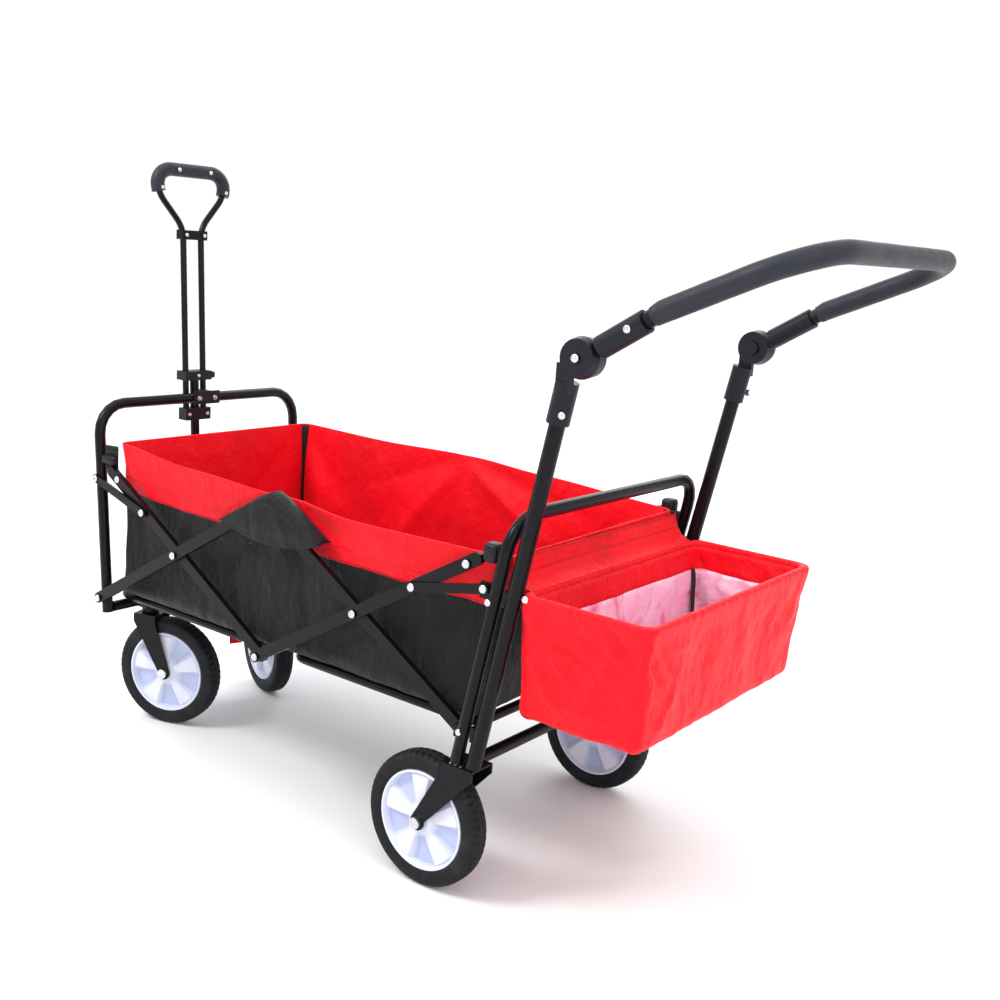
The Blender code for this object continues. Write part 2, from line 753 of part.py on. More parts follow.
def hubs():
    """Each hub: an outer cheek on the lower socket, the upper socket's disc inside it, and a push button."""
    centre = (MID_X + HUB_X, HUB_Z)
    tilting = []
    for side_name, side in SIDES.items():
        low, top, shoulder = (
            Vector((push_x(z), side * PUSH_Y, z)) for z in (HUB_Z - 0.086, PUSH_TOP_Z + GAP, HUB_Z - 0.0315)
        )
        lower = cylinder(f"hub_lower_{side_name}", low, shoulder, 0.0155, "black_plastic", sides=14)
        lower_bore = cylinder(
            "push_tube_bore", low * 2 - top, top, PUSH_RADIUS + GAP, sides=16, helper=True
        )
        outer_disc = cylinder(
            "cheek",
            (centre[0], side * (PUSH_Y + 0.0045), centre[1]),
            (centre[0], side * (PUSH_Y + 0.0165), centre[1]),
            HUB_RADIUS,
            sides=24,
            helper=True,
            end_radius=HUB_RADIUS * 0.9,
        )
        neck = box(
            "neck",
            (shoulder.x - 0.010, side * PUSH_Y + (0.0045 if side > 0 else -0.0135), HUB_Z - 0.046),
            (shoulder.x + 0.012, side * PUSH_Y + (0.0135 if side > 0 else -0.0045), HUB_Z - 0.008),
            helper=True,
        )
        bolt = cylinder(
            "hub_bolt",
            (centre[0], side * (PUSH_Y + 0.0160), centre[1]),
            (centre[0], side * (PUSH_Y + 0.0190), centre[1]),
            0.0060,
            sides=12,
            helper=True,
        )
        combine(lower, [outer_disc, neck, bolt])
        combine(lower, [lower_bore], "DIFFERENCE")

        along = Vector((math.cos(HANDLE_ANGLE), 0, math.sin(HANDLE_ANGLE)))
        middle = Vector((centre[0], side * PUSH_Y, centre[1]))
        start, end = middle + along * (HUB_RADIUS + 0.0018), middle + along * 0.100
        upper = cylinder(f"hub_upper_{side_name}", start, end, 0.0150, "black_plastic", sides=14)
        disc = cylinder(
            "disc",
            (centre[0], side * (PUSH_Y + 0.0040), centre[1]),
            (centre[0], side * (PUSH_Y - 0.0150), centre[1]),
            HUB_RADIUS,
            sides=24,
            helper=True,
            end_radius=HUB_RADIUS * 0.92,
        )
        seat = cylinder(
            "button_seat",
            (centre[0], side * (PUSH_Y - 0.0050), centre[1]),
            (centre[0], side * (PUSH_Y - 0.0250), centre[1]),
            0.0105,
            sides=20,
            helper=True,
        )
        bore = cylinder(
            "handlebar_bore",
            middle + along * 0.052,
            middle + along * 0.120,
            PUSH_RADIUS + GAP,
            sides=16,
            helper=True,
        )
        neck_axis = middle - Vector((0, side * 0.0055, 0))
        upper_neck = cylinder(
            "neck", neck_axis + along * 0.010, neck_axis + along * 0.040, 0.0090, sides=12, helper=True
        )
        combine(upper, [disc, upper_neck])
        combine(upper, [seat, bore], "DIFFERENCE")
        button = cylinder(
            f"hub_button_{side_name}",
            (centre[0], side * (PUSH_Y - 0.0190), centre[1]),
            (centre[0], side * (PUSH_Y - 0.0050 - BUTTON_TRAVEL - 0.0020), centre[1]),
            0.0100,
            "black_plastic",
            sides=20,
        )
        tilting.append((upper, button))
    return tilting


def handlebar():
    """The steel U of the push handle and the foam sleeve on it."""
    lower, upper = (Vector((math.cos(a), 0, math.sin(a))) for a in (HANDLE_ANGLE, HANDLE_UPPER_ANGLE))
    start = Vector((MID_X + HUB_X, 0, HUB_Z))
    knee = start + lower * HANDLE_KNEE
    across = Vector((0, PUSH_Y, 0))

    def route(first):
        """The U from one arm's end, which lies this far from the hub, round to the other arm's end."""
        arm = [start + lower * first, knee, knee + upper * HANDLE_UPPER_REACH]
        corners = [place - across for place in arm] + [place + across for place in reversed(arm)]
        smooth = rounded_path(corners[1:-1], HANDLE_BEND, steps=10)
        return [corners[0], *smooth, corners[-1]]

    steel = to_mesh(tube("handlebar", route(0.054), PUSH_RADIUS, resolution=3))
    sleeve = tube(
        "handlebar_foam",
        route(FOAM_START),
        PUSH_RADIUS + GAP,
        "foam",
        resolution=3,
        caps=False,
    )
    sleeve = to_mesh(sleeve)
    wall = sleeve.modifiers.new("foam wall", "SOLIDIFY")
    wall.thickness = FOAM_RADIUS - PUSH_RADIUS - GAP
    wall.offset = 1.0
    wall.use_even_offset = True
    return [steel, sleeve]


# ---------------------------------------------------------------- pull handle
def pull_handle():
    """The pivoting centre tube with its collar, and the pair of thin tubes with the grip that slide on it."""

    def at(z, y=0.0):
        return Vector((pull_x(z), y, z))

    centre_tube = cylinder(
        "pull_tube", at(CROSSBAR_Z - 0.012), at(COLLAR_Z - 0.0005), PULL_TUBE_RADIUS, sides=14
    )
    hole = cylinder("hole", at(CROSSBAR_Z, -0.02), at(CROSSBAR_Z, 0.02), 0.0043, sides=12, helper=True)
    combine(centre_tube, [hole], "DIFFERENCE")

    half_x, half_y, low, high = 0.0135, 0.0310, COLLAR_Z, COLLAR_Z + 0.017
    collar = box(
        "pull_collar",
        (pull_x(COLLAR_Z) - half_x, -half_y, low),
        (pull_x(COLLAR_Z) + half_x, half_y, high),
        "black_plastic",
    )
    bores = [
        cylinder(
            "twin_bore",
            at(low - 0.01, side * TWIN_Y),
            at(high + 0.01, side * TWIN_Y),
            TWIN_RADIUS + 0.0004,
            sides=12,
            helper=True,
        )
        for side in SIDES.values()
    ]
    combine(collar, bores, "DIFFERENCE")
    lever_x = pull_x(COLLAR_Z)
    lever = box(
        "pull_lock_lever",
        (lever_x - 0.008, half_y + GAP, low + 0.002),
        (lever_x + 0.008, half_y + 0.014, high - 0.003),
        "black_plastic",
        bevel=0.002,
    )

    bracket_low, bracket_high = 0.556, 0.5785
    bracket = box(
        "pull_slide_bracket",
        (pull_x(0.567) - 0.0115, -0.0290, bracket_low),
        (pull_x(0.567) + 0.0115, 0.0290, bracket_high),
        "black_plastic",
    )
    guide = cylinder(
        "guide",
        at(bracket_low - 0.01),
        at(bracket_high + 0.01),
        PULL_TUBE_RADIUS + 0.0006,
        sides=14,
        helper=True,
    )
    seats = [
        cylinder(
            "seat",
            at(bracket_high - 0.012, side * TWIN_Y),
            at(bracket_high + 0.01, side * TWIN_Y),
            TWIN_RADIUS + GAP,
            sides=12,
            helper=True,
        )
        for side in SIDES.values()
    ]
    combine(bracket, [guide, *seats], "DIFFERENCE")

    low_z, neck_z, wide_z, top_z = bracket_high - 0.0115, 0.915, 0.972, GRIP_Z
    twins = []
    for side in SIDES.values():
        corners = [
            at(low_z, side * TWIN_Y),
            at(neck_z, side * TWIN_Y),
            at(wide_z, side * GRIP_HALF_WIDTH),
            at(wide_z + 0.020, side * (GRIP_HALF_WIDTH + 0.004)),
        ]
        twins.append(rounded_path(corners, NECK_BEND, steps=6))
    twin, other_twin = [to_mesh(tube("pull_twin_tubes", path, TWIN_RADIUS, resolution=3)) for path in twins]
    make_helper(other_twin)
    clamp = box(
        "pull_clamp",
        (pull_x(0.902) - TWIN_RADIUS - 0.0030, -0.0290, 0.8935),
        (pull_x(0.902) + TWIN_RADIUS + 0.0030, 0.0290, 0.9105),
        helper=True,
    )
    combine(twin, [clamp, other_twin])

    grip_corners = [
        at(wide_z + 0.0055, -GRIP_HALF_WIDTH - 0.0015),
        at(top_z - 0.010, -GRIP_HALF_WIDTH - 0.009),
        at(top_z, -GRIP_HALF_WIDTH + 0.022),
        at(top_z, GRIP_HALF_WIDTH - 0.022),
        at(top_z - 0.010, GRIP_HALF_WIDTH + 0.009),
        at(wide_z + 0.0055, GRIP_HALF_WIDTH + 0.0015),
    ]
    grip_path = rounded_path(grip_corners, GRIP_BEND, steps=6)
    grip = to_mesh(tube("pull_grip", grip_path, GRIP_RADIUS, "foam", 4))
    sockets = []
    for name, side in SIDES.items():
        sockets.append(
            cylinder(
                "grip_socket",
                at(wide_z - 0.010, side * (GRIP_HALF_WIDTH - 0.0028)),
                at(wide_z + 0.0245, side * (GRIP_HALF_WIDTH + 0.0048)),
                TWIN_RADIUS + 0.0008,
                sides=12,
                helper=True,
            )
        )
    combine(grip, sockets, "DIFFERENCE")
    return {"swing": [centre_tube, collar], "lever": [lever], "slide": [bracket, grip, twin]}


# ---------------------------------------------------------------- baskets
def open_bin(name, bottom, top, wall, slot):
    """An open-topped bin. bottom and top are ((x0, x1), half width, z)."""
    tool = bmesh.new()
    bmesh.ops.create_cube(tool, size=1.0)
    lid = [face for face in tool.faces if face.normal.z > 0.5]
    for corner in tool.verts:
        (x0, x1), half, z = top if corner.co.z > 0 else bottom
        corner.co = (x0 if corner.co.x < 0 else x1, half if corner.co.y > 0 else -half, z)
    bmesh.ops.delete(tool, geom=lid, context="FACES_ONLY")
    made = from_bmesh(name, tool, slot)
    shell = made.modifiers.new("cloth", "SOLIDIFY")
    shell.thickness = wall
    shell.offset = -1.0
    shell.use_even_offset = True
    return made


def baskets():
    clear = FRAME_RADIUS + 0.0012
    front = MID_X + BASKET_FRONT_X
    open_bin(
        "cargo_basket",
        ((front, rear_x(BASKET_FLOOR_Z) - clear), BASKET_HALF_WIDTH, BASKET_FLOOR_Z),
        ((front, rear_x(BASKET_RIM_Z) - clear), BASKET_HALF_WIDTH, BASKET_RIM_Z),
        CLOTH,
        "red_nylon",
    )
    (x0, x1), half, (z0, z1) = REAR_BASKET
    x0, x1 = MID_X + x0, MID_X + x1
    rear = open_bin("rear_basket", ((x0, x1), half, z0), ((x0, x1), half, z1), CLOTH, "red_nylon")
    pivot_x, pivot_z = MID_X + RIM_PIVOT[0], RIM_PIVOT[1]
    rod_y, rod_x = half + ROD_RADIUS + 0.0020, x1 + ROD_RADIUS + 0.0015
    corners = [
        (pivot_x, -rod_y, pivot_z),
        (rod_x, -rod_y, pivot_z),
        (rod_x, rod_y, pivot_z),
        (pivot_x, rod_y, pivot_z),
    ]
    rod = to_mesh(tube("rear_basket_rod", rounded_path(corners, 0.020, steps=4), ROD_RADIUS, resolution=2))
    return rear, rod


# ---------------------------------------------------------------- assembly
def build():
    front = front_frame()
    rear_frame()
    bars = scissor_bars()
    caps = corner_caps()
    links = corner_links()
    leaves = floor_leaves()
    wheels = rear_wheels()
    caster = casters()
    push_tubes()
    tilting = hubs()
    bar = handlebar()
    pull = pull_handle()
    rear_bag, rod = baskets()

    low_front = (MID_X - HALF_SPAN, 0, LOW_Z)
    low_rear = (MID_X + HALF_SPAN, 0, LOW_Z)
    cross_z = (LOW_Z + HIGH_Z) / 2
    pivot("bars_3_pivot", low_rear, bars[3])
    pivot("bars_4_pivot", (MID_X + HALF_SPAN / 2, 0, cross_z), bars[4] + caps["rear"])
    pivot("bars_1_pivot", (MID_X, 0, LOW_Z), bars[1] + caps["front"])
    pivot("bars_2_pivot", (MID_X - HALF_SPAN / 2, 0, cross_z), bars[2])
    pivot("front_frame_pivot", low_front, front)
    pivot("front_links_pivot", (front_x(FRONT_LINK_Z), 0, FRONT_LINK_Z), links["front"])
    pivot("rear_links_pivot", (MID_X + REAR_LINK[0], 0, REAR_LINK[1]), links["rear"])
    pivot("front_leaf_pivot", low_front, leaves["front"])
    pivot("rear_leaf_pivot", low_rear, leaves["rear"])
    for side_name in SIDES:
        one = caster[side_name]
        pivot(f"caster_{side_name}_swivel", one["stem"], one["fork"])
        pivot(f"front_wheel_{side_name}_axle", one["centre"], one["wheel"])
        centre = (MID_X + REAR_WHEEL_X, SIDES[side_name] * REAR_WHEEL_Y, WHEEL_RADIUS)
        pivot(f"rear_wheel_{side_name}_axle", centre, wheels[side_name])
    hub = (MID_X + HUB_X, 0, HUB_Z)
    pivot("push_handle_pivot", hub, [upper for upper, _ in tilting] + bar)
    for side_name, (_, button) in zip(SIDES, tilting):
        pivot(f"hub_button_{side_name}_slide", hub, [button])
    foot = (pull_x(CROSSBAR_Z), 0, CROSSBAR_Z)
    pivot("pull_handle_pivot", foot, pull["swing"])
    pivot("pull_handle_slide", foot, pull["slide"])
    pivot("pull_lever_pivot", (pull_x(COLLAR_Z), 0.031, COLLAR_Z), pull["lever"])
    pivot("rear_basket_pivot", (MID_X + RIM_PIVOT[0], 0, RIM_PIVOT[1]), [rear_bag, rod])


build()
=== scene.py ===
import math

import bmesh
import bpy
import numpy as np
from mathutils import Matrix, Vector, noise


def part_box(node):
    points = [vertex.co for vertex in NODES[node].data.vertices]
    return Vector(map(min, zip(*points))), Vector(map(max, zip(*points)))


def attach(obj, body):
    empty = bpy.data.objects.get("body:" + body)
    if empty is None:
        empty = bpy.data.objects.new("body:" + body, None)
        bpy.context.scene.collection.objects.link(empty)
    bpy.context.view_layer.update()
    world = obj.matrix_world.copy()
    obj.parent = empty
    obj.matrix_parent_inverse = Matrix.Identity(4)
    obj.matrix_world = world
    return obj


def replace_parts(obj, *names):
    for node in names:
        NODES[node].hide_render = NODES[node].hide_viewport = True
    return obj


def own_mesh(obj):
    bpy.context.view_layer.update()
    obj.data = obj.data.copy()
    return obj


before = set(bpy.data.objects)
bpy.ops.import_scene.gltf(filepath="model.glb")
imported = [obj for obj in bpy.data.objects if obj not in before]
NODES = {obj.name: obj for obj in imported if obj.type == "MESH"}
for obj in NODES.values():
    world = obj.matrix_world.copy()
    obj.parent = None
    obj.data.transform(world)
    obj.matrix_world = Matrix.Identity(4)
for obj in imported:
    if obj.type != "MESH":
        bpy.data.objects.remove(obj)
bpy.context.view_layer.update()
SIDES = {"left": -1, "right": 1}

# ---------------------------------------------------------------- places, all from the frame
CARGO_LOW, CARGO_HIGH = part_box("cargo_basket")
BAG_LOW, BAG_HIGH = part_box("rear_basket")
ROD_LOW, ROD_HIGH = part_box("rear_basket_rod")
BARS_LOW, BARS_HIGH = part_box("scissor_bar_2_left")
FRAME_LEAN = 0.1904  # of the rear end frame, in metres of X for each metre of height
BAR_FACE = -BARS_LOW.y
MIDDLE_X = BARS_HIGH.x - 0.0095


# ---------------------------------------------------------------- materials
STITCH_PITCH = 0.0036
STITCH_SHARE = 0.68  # of the pitch that shows thread
STITCH_WIDTH = 0.0007
STITCH_DEPTH = 0.0006


class Shader:
    """One Principled material and the few node recipes that the materials share."""

    def __init__(self, name, colour, roughness, **settings):
        self.material = bpy.data.materials.new(name)
        self.material.use_nodes = True
        self.nodes = self.material.node_tree.nodes
        self.links = self.material.node_tree.links
        self.bsdf = self.nodes["Principled BSDF"]
        self.colour = colour
        self.bsdf.inputs["Base Color"].default_value = (*colour, 1)
        self.bsdf.inputs["Roughness"].default_value = roughness
        for name_of_setting, value in settings.items():
            self.setting(name_of_setting.replace("_", " "), value)
        self.places = self.nodes.new("ShaderNodeTexCoord")
        self.last_bump = None

    def setting(self, name, value):
        """Sets one input of the Principled node."""
        self.bsdf.inputs[name].default_value = value

    def math(self, operation, first, second=0.5):
        """A maths node whose inputs are numbers or other nodes' outputs."""
        node = self.nodes.new("ShaderNodeMath")
        node.operation = operation
        for socket, value in zip(node.inputs, (first, second)):
            if isinstance(value, (int, float)):
                socket.default_value = value
            else:
                self.links.new(value, socket)
        return node.outputs[0]

    def noise(self, scale, detail, distortion=0.0, stretch=(1, 1, 1)):
        mapping = self.nodes.new("ShaderNodeMapping")
        mapping.inputs["Scale"].default_value = stretch
        self.links.new(self.places.outputs["Object"], mapping.inputs["Vector"])
        node = self.nodes.new("ShaderNodeTexNoise")
        node.inputs["Scale"].default_value = scale
        node.inputs["Detail"].default_value = detail
        node.inputs["Distortion"].default_value = distortion
        self.links.new(mapping.outputs["Vector"], node.inputs["Vector"])
        return node.outputs["Fac"]

    def ramp(self, value, low, high):
        node = self.nodes.new("ShaderNodeMapRange")
        node.interpolation_type = "SMOOTHSTEP"
        node.inputs["From Min"].default_value = low
        node.inputs["From Max"].default_value = high
        self.links.new(value, node.inputs["Value"])
        return node.outputs["Result"]

    def tint(self, factor, colour):
        """Mixes the base colour so far with another colour."""
        node = self.nodes.new("ShaderNodeMix")
        node.data_type = "RGBA"
        before = self.bsdf.inputs["Base Color"].links
        if before:
            self.links.new(before[0].from_socket, node.inputs[6])
        else:
            node.inputs[6].default_value = (*self.colour, 1)
        node.inputs[7].default_value = (*colour, 1)
        self.links.new(factor, node.inputs[0])
        self.links.new(node.outputs[2], self.bsdf.inputs["Base Color"])

    def bump(self, height, distance):
        """Adds relief of this height in metres on top of what the material has."""
        node = self.nodes.new("ShaderNodeBump")
        node.inputs["Distance"].default_value = distance
        node.inputs["Strength"].default_value = 1.0
        self.links.new(height, node.inputs["Height"])
        if self.last_bump:
            self.links.new(self.last_bump, node.inputs["Normal"])
        self.last_bump = node.outputs["Normal"]
        self.links.new(self.last_bump, self.bsdf.inputs["Normal"])

    def gloss(self, value, low, high):
        """Roughness that runs from low to high with a 0..1 value."""
        node = self.nodes.new("ShaderNodeMapRange")
        node.inputs["To Min"].default_value = low
        node.inputs["To Max"].default_value = high
        self.links.new(value, node.inputs["Value"])
        self.links.new(node.outputs["Result"], self.bsdf.inputs["Roughness"])

    def mottle(self, colour, low, high, *spots, **more):
        """Another colour where a noise lies between low and high or above."""
        self.tint(self.ramp(self.noise(*spots, **more), low, high), colour)

    def grain(self, distance, *spots, **more):
        """Relief from a noise."""
        self.bump(self.noise(*spots, **more), distance)

    def threads(self, pitch):
        """Height of a plain weave of this thread pitch, in metres."""
        waves = []
        for direction in ("X", "Y"):
            wave = self.nodes.new("ShaderNodeTexWave")
            wave.bands_direction = direction
            wave.inputs["Scale"].default_value = math.pi / (10 * pitch)
            wave.inputs["Distortion"].default_value = 0.25
            wave.inputs["Detail"].default_value = 0.0
            self.links.new(self.places.outputs["UV"], wave.inputs["Vector"])
            waves.append(wave.outputs["Fac"])
        return self.math("MAXIMUM", *waves)

    def stitches(self, rows, thread):
        """Lines of lockstitch along U at these distances V from the piece's first edge."""
        split = self.nodes.new("ShaderNodeSeparateXYZ")
        self.links.new(self.places.outputs["UV"], split.inputs[0])
        along = self.math("FRACT", self.math("DIVIDE", split.outputs["X"], STITCH_PITCH))
        dash = self.math("LESS_THAN", along, STITCH_SHARE)
        line = None
        for row in rows:
            near = self.math("COMPARE", split.outputs["Y"], row)
            near.node.inputs[2].default_value = STITCH_WIDTH
            line = near if line is None else self.math("MAXIMUM", line, near)
        self.tint(self.math("MULTIPLY", line, dash), thread)
        self.bump(self.math("MULTIPLY", line, -1.0), STITCH_DEPTH)


def cloth(name, colour, shade, thread, rows, roughness=0.46, sheen=0.04, weave=0.0009, creases=0.0050):
    """Woven nylon: uneven dye, soft creases, a thread weave and lines of stitching."""
    settings = {"Sheen_Weight": sheen, "Sheen_Roughness": 0.45, "Specular_IOR_Level": 0.15}
    made = Shader(name, colour, roughness, **settings)
    made.mottle(shade, 0.35, 0.75, 5.0, 4.0, 0.6)
    weave_height = made.threads(weave)
    made.tint(made.math("MULTIPLY", weave_height, 0.10), shade)
    made.grain(creases, 17.0, 4.0, 1.4, stretch=(1.0, 1.0, 0.55))
    made.grain(creases * 0.32, 60.0, 3.0, 0.8)
    made.bump(weave_height, 0.00010)
    made.stitches(rows, thread)
    made.gloss(made.noise(40.0, 2.0), roughness - 0.08, roughness + 0.10)
    return made.material


def moulded(name, colour, roughness, spots, grain, gloss):
    """A solid surface: spots of another colour, a fine grain, and an uneven gloss
    given as (scale, detail, low, high)."""
    made = Shader(name, colour, roughness)
    made.mottle(*spots)
    made.grain(*grain)
    made.gloss(made.noise(*gloss[:2]), *gloss[2:])
    return made


def make_materials():
    """Every finish by name. The names of record slots come first."""
    made = {}
    black = (0.0030, 0.0030, 0.0045)
    spots = ((0.010, 0.010, 0.013), 0.66, 0.80, 220.0, 5.0)
    steel = moulded("powder_coat", black, 0.30, spots, (0.00006, 900.0, 2.0), (26.0, 4.0, 0.20, 0.36))
    steel.setting("Specular IOR Level", 0.17)
    made["black_steel"] = steel.material

    black = (0.0045, 0.0060, 0.0110)
    spots = ((0.014, 0.017, 0.024), 0.60, 0.85, 90.0, 4.0)
    plastic = moulded("moulded_plastic", black, 0.38, spots, (0.00005, 1500.0, 2.0), (34.0, 3.0, 0.34, 0.50))
    plastic.setting("Specular IOR Level", 0.24)
    made["black_plastic"] = plastic.material

    black = (0.0110, 0.0125, 0.0210)
    spots = ((0.018, 0.020, 0.031), 0.40, 0.75, 700.0, 4.0)
    foam = moulded("sleeve_foam", black, 0.55, spots, (0.00018, 1100.0, 3.0), (45.0, 2.0, 0.42, 0.60))
    foam.setting("Sheen Weight", 0.05)
    foam.setting("Specular IOR Level", 0.30)
    foam.grain(0.00030, 60.0, 2.0)
    made["foam"] = foam.material

    black = (0.0060, 0.0062, 0.0085)
    spots = ((0.016, 0.016, 0.018), 0.45, 0.80, 35.0, 5.0)
    rubber = moulded("tyre_rubber", black, 0.60, spots, (0.00014, 420.0, 3.0), (60.0, 3.0, 0.50, 0.78))
    rubber.setting("Specular IOR Level", 0.22)
    made["rubber"] = rubber.material

    white = (0.66, 0.68, 0.79)
    spots = ((0.60, 0.62, 0.76), 0.35, 0.80, 24.0, 4.0)
    pale = moulded("wheel_plastic", white, 0.32, spots, (0.00004, 700.0, 2.0), (50.0, 3.0, 0.28, 0.46))
    pale.setting("Coat Weight", 0.15)
    # Painted shade: the pale plastic turns bluer on the low parts of the wheel disc between its raised wedges,
    # where the disc mesh marks them.
    recess_shade = pale.nodes.new("ShaderNodeAttribute")
    recess_shade.attribute_name = "recess_shade"
    pale.tint(recess_shade.outputs["Fac"], (0.36, 0.42, 0.66))
    made["pale_plastic"] = pale.material

    grey = (0.66, 0.66, 0.68)
    spots = ((0.42, 0.42, 0.44), 0.50, 0.80, 160.0, 4.0)
    zinc = moulded("zinc_plate", grey, 0.28, spots, (0.00005, 900.0, 2.0), (240.0, 3.0, 0.20, 0.42))
    zinc.setting("Metallic", 1.0)
    made["zinc"] = zinc.material

    board = Shader("floor_board", (0.014, 0.014, 0.015), 0.75)
    board.mottle((0.028, 0.027, 0.026), 0.4, 0.8, 60.0, 5.0, stretch=(1, 8, 1))
    board.grain(0.0003, 240.0, 4.0, stretch=(1, 6, 1))
    made["black_board"] = board.material

    red, deep_red = (0.86, 0.0030, 0.0125), (0.66, 0.0016, 0.0080)
    thread_red = (0.38, 0.002, 0.006)
    made["red_cloth"] = cloth("red_nylon_basket", red, deep_red, thread_red, (0.003, 0.024))
    made["red_bag"] = cloth("red_nylon_bag", red, deep_red, thread_red, (0.003, 0.052), creases=0.0075)
    made["red_plain"] = cloth("red_nylon_strap", red, deep_red, thread_red, (0.002, 0.022), weave=0.0014)
    black, grey = (0.0045, 0.0043, 0.0048), (0.0100, 0.0096, 0.0104)
    body = {"roughness": 0.50, "sheen": 0.05, "creases": 0.0080}
    made["black_cloth"] = cloth("black_nylon", black, grey, (0.03, 0.03, 0.03), (0.004,), **body)
    flap_black, flap_thread = (0.0050, 0.0050, 0.0054), (0.02, 0.02, 0.02)
    made["black_flap"] = cloth("black_nylon_flap", flap_black, grey, flap_thread, (0.036,), roughness=0.52)
    tape, tape_thread = {"weave": 0.0016, "creases": 0.0006}, (0.05, 0.05, 0.05)
    tape_black = (0.010, 0.010, 0.011)
    made["webbing"] = cloth("black_binding", tape_black, grey, tape_thread, (0.0015, 0.0105), **tape)

    coat = {"Coat_Weight": 0.5, "Coat_Roughness": 0.12, "Sheen_Weight": 0.2}
    lining = Shader("coated_lining", (0.86, 0.42, 0.60), 0.26, **coat)
    lining.mottle((0.90, 0.62, 0.74), 0.35, 0.70, 9.0, 3.0, 1.2)
    lining.mottle((0.80, 0.16, 0.32), 0.50, 0.72, 14.0, 3.0, 1.8)
    lining.grain(0.0040, 22.0, 4.0, 1.8)
    lining.grain(0.0008, 75.0, 3.0, 1.0)
    lining.bump(lining.threads(0.0009), 0.00006)
    made["lining"] = lining.material

    floor = Shader("studio_floor", (0.84, 0.84, 0.85), 0.90, Specular_IOR_Level=0.1)
    floor.mottle((0.83, 0.83, 0.845), 0.4, 0.8, 1.5, 2.0)
    floor.grain(0.0002, 120.0, 3.0)
    made["floor"] = floor.material
    return made


MATERIALS = make_materials()


# ---------------------------------------------------------------- mesh helpers
CORNER_STEPS = 6  # points round each corner of a basket
EDGE_REACH = 0.016  # of the soft edge between a basket's walls and its floor


def piece(name, points, faces, finish, body=None, uvs=None, slot=None):
    """A new mesh piece. uvs holds one (u, v) in metres for each corner of each face."""
    data = bpy.data.meshes.new(name)
    data.from_pydata([tuple(p) for p in points], [], faces)
    if uvs is not None:
        layer = data.uv_layers.new(name="UVMap")
        layer.data.foreach_set("uv", np.asarray(uvs, np.float32).ravel())
    data.materials.append(MATERIALS[finish])
    data.polygons.foreach_set("use_smooth", [True] * len(data.polygons))
    data.update()
    obj = bpy.data.objects.new(name, data)
    bpy.context.scene.collection.objects.link(obj)
    if body:
        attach(obj, body)
    return obj


def loft(name, rings, finish, body=None, closed=True, fill=False, slot=None):
    """A sheet through rings of equally many points, with U round the ring and V from the first ring."""
    rings = np.asarray(rings, float)
    levels, count = rings.shape[:2]
    around = rings[0] if not closed else np.vstack([rings[0], rings[0][:1]])
    u = np.concatenate([[0], np.cumsum(np.linalg.norm(np.diff(around, axis=0), axis=1))])
    v = np.concatenate([[0], np.cumsum(np.linalg.norm(np.diff(rings, axis=0), axis=2).mean(1))])
    faces, uvs = [], []
    for i in range(levels - 1):
        for j in range(count if closed else count - 1):
            k = (j + 1) % count
            faces.append((i * count + j, (i + 1) * count + j, (i + 1) * count + k, i * count + k))
            uvs += [(u[j], v[i]), (u[j], v[i + 1]), (u[j + 1], v[i + 1]), (u[j + 1], v[i])]
    points = rings.reshape(-1, 3)
    if fill:
        points = np.vstack([points, rings[-1].mean(0)])
        for j in range(count):
            k = (j + 1) % count
            faces.append(((levels - 1) * count + j, len(points) - 1, (levels - 1) * count + k))
            uvs += [(u[j], v[-1]), (u[j], v[-1] + 0.01), (u[j + 1], v[-1])]
    return piece(name, points, faces, finish, body, uvs, slot)


def thicken(obj, thickness):
    """Gives a sheet its thickness, half to each side."""
    wall = obj.modifiers.new("cloth thickness", "SOLIDIFY")
    wall.thickness = thickness
    wall.offset = 0.0


def rounded_rectangle(low, high, radius, counts):
    """Points and outward directions round a rectangle in XY, anticlockwise from the corner at low x, low y."""
    (x0, y0), (x1, y1) = low, high
    corners = [(x0, y0), (x1, y0), (x1, y1), (x0, y1)]
    points, normals = [], []
    for side in range(4):
        a, b = np.array(corners[side], float), np.array(corners[(side + 1) % 4], float)
        along = (b - a) / np.linalg.norm(b - a)
        out = np.array([along[1], -along[0]])
        start, end = a + along * radius, b - along * radius
        for share in np.linspace(0, 1, counts[side]):
            points.append(start + (end - start) * share)
            normals.append(out)
        for step in range(1, CORNER_STEPS):
            angle = math.pi / 2 * step / CORNER_STEPS
            turned = out * math.cos(angle) + along * math.sin(angle)
            points.append(end - out * radius + turned * radius)
            normals.append(turned)
    return np.array(points), np.array(normals)


def bottom_edge(wall, normals, height):
    """Rings that lead from the foot of a wall round a soft edge of this height."""
    rings = []
    for angle in np.linspace(0, math.pi / 2, 6)[1:]:
        xy = wall[:, :2] - normals * (EDGE_REACH * (1 - math.cos(angle)))
        rings.append(np.column_stack([xy, wall[:, 2] - height * math.sin(angle)]))
    return rings


def fractal(point, scale, seed, octaves=4):
    """Smooth noise, about -1 to 1, that is the same on every run."""
    return noise.fractal(Vector(point) * scale + Vector((seed * 7.3, seed * 3.1, seed)), 0.9, 2.1, octaves)


def fold(points, start, end, depth, width):
    """Height of a soft crease that runs from start to end and fades at both."""
    start, end = np.array(start, float), np.array(end, float)
    line = end - start
    share = np.clip(((points - start) @ line) / (line @ line), 0, 1)
    away = np.linalg.norm(points - start - share[:, None] * line, axis=1)
    fade = np.sin(np.pi * np.clip(0.12 + 0.80 * share, 0, 1))
    return depth * fade * np.exp(-((away / width) ** 1.15))


def folds(points, creases):
    """Height of several creases, each given as (start, end, depth, width)."""
    return sum(fold(points, *crease) for crease in creases)


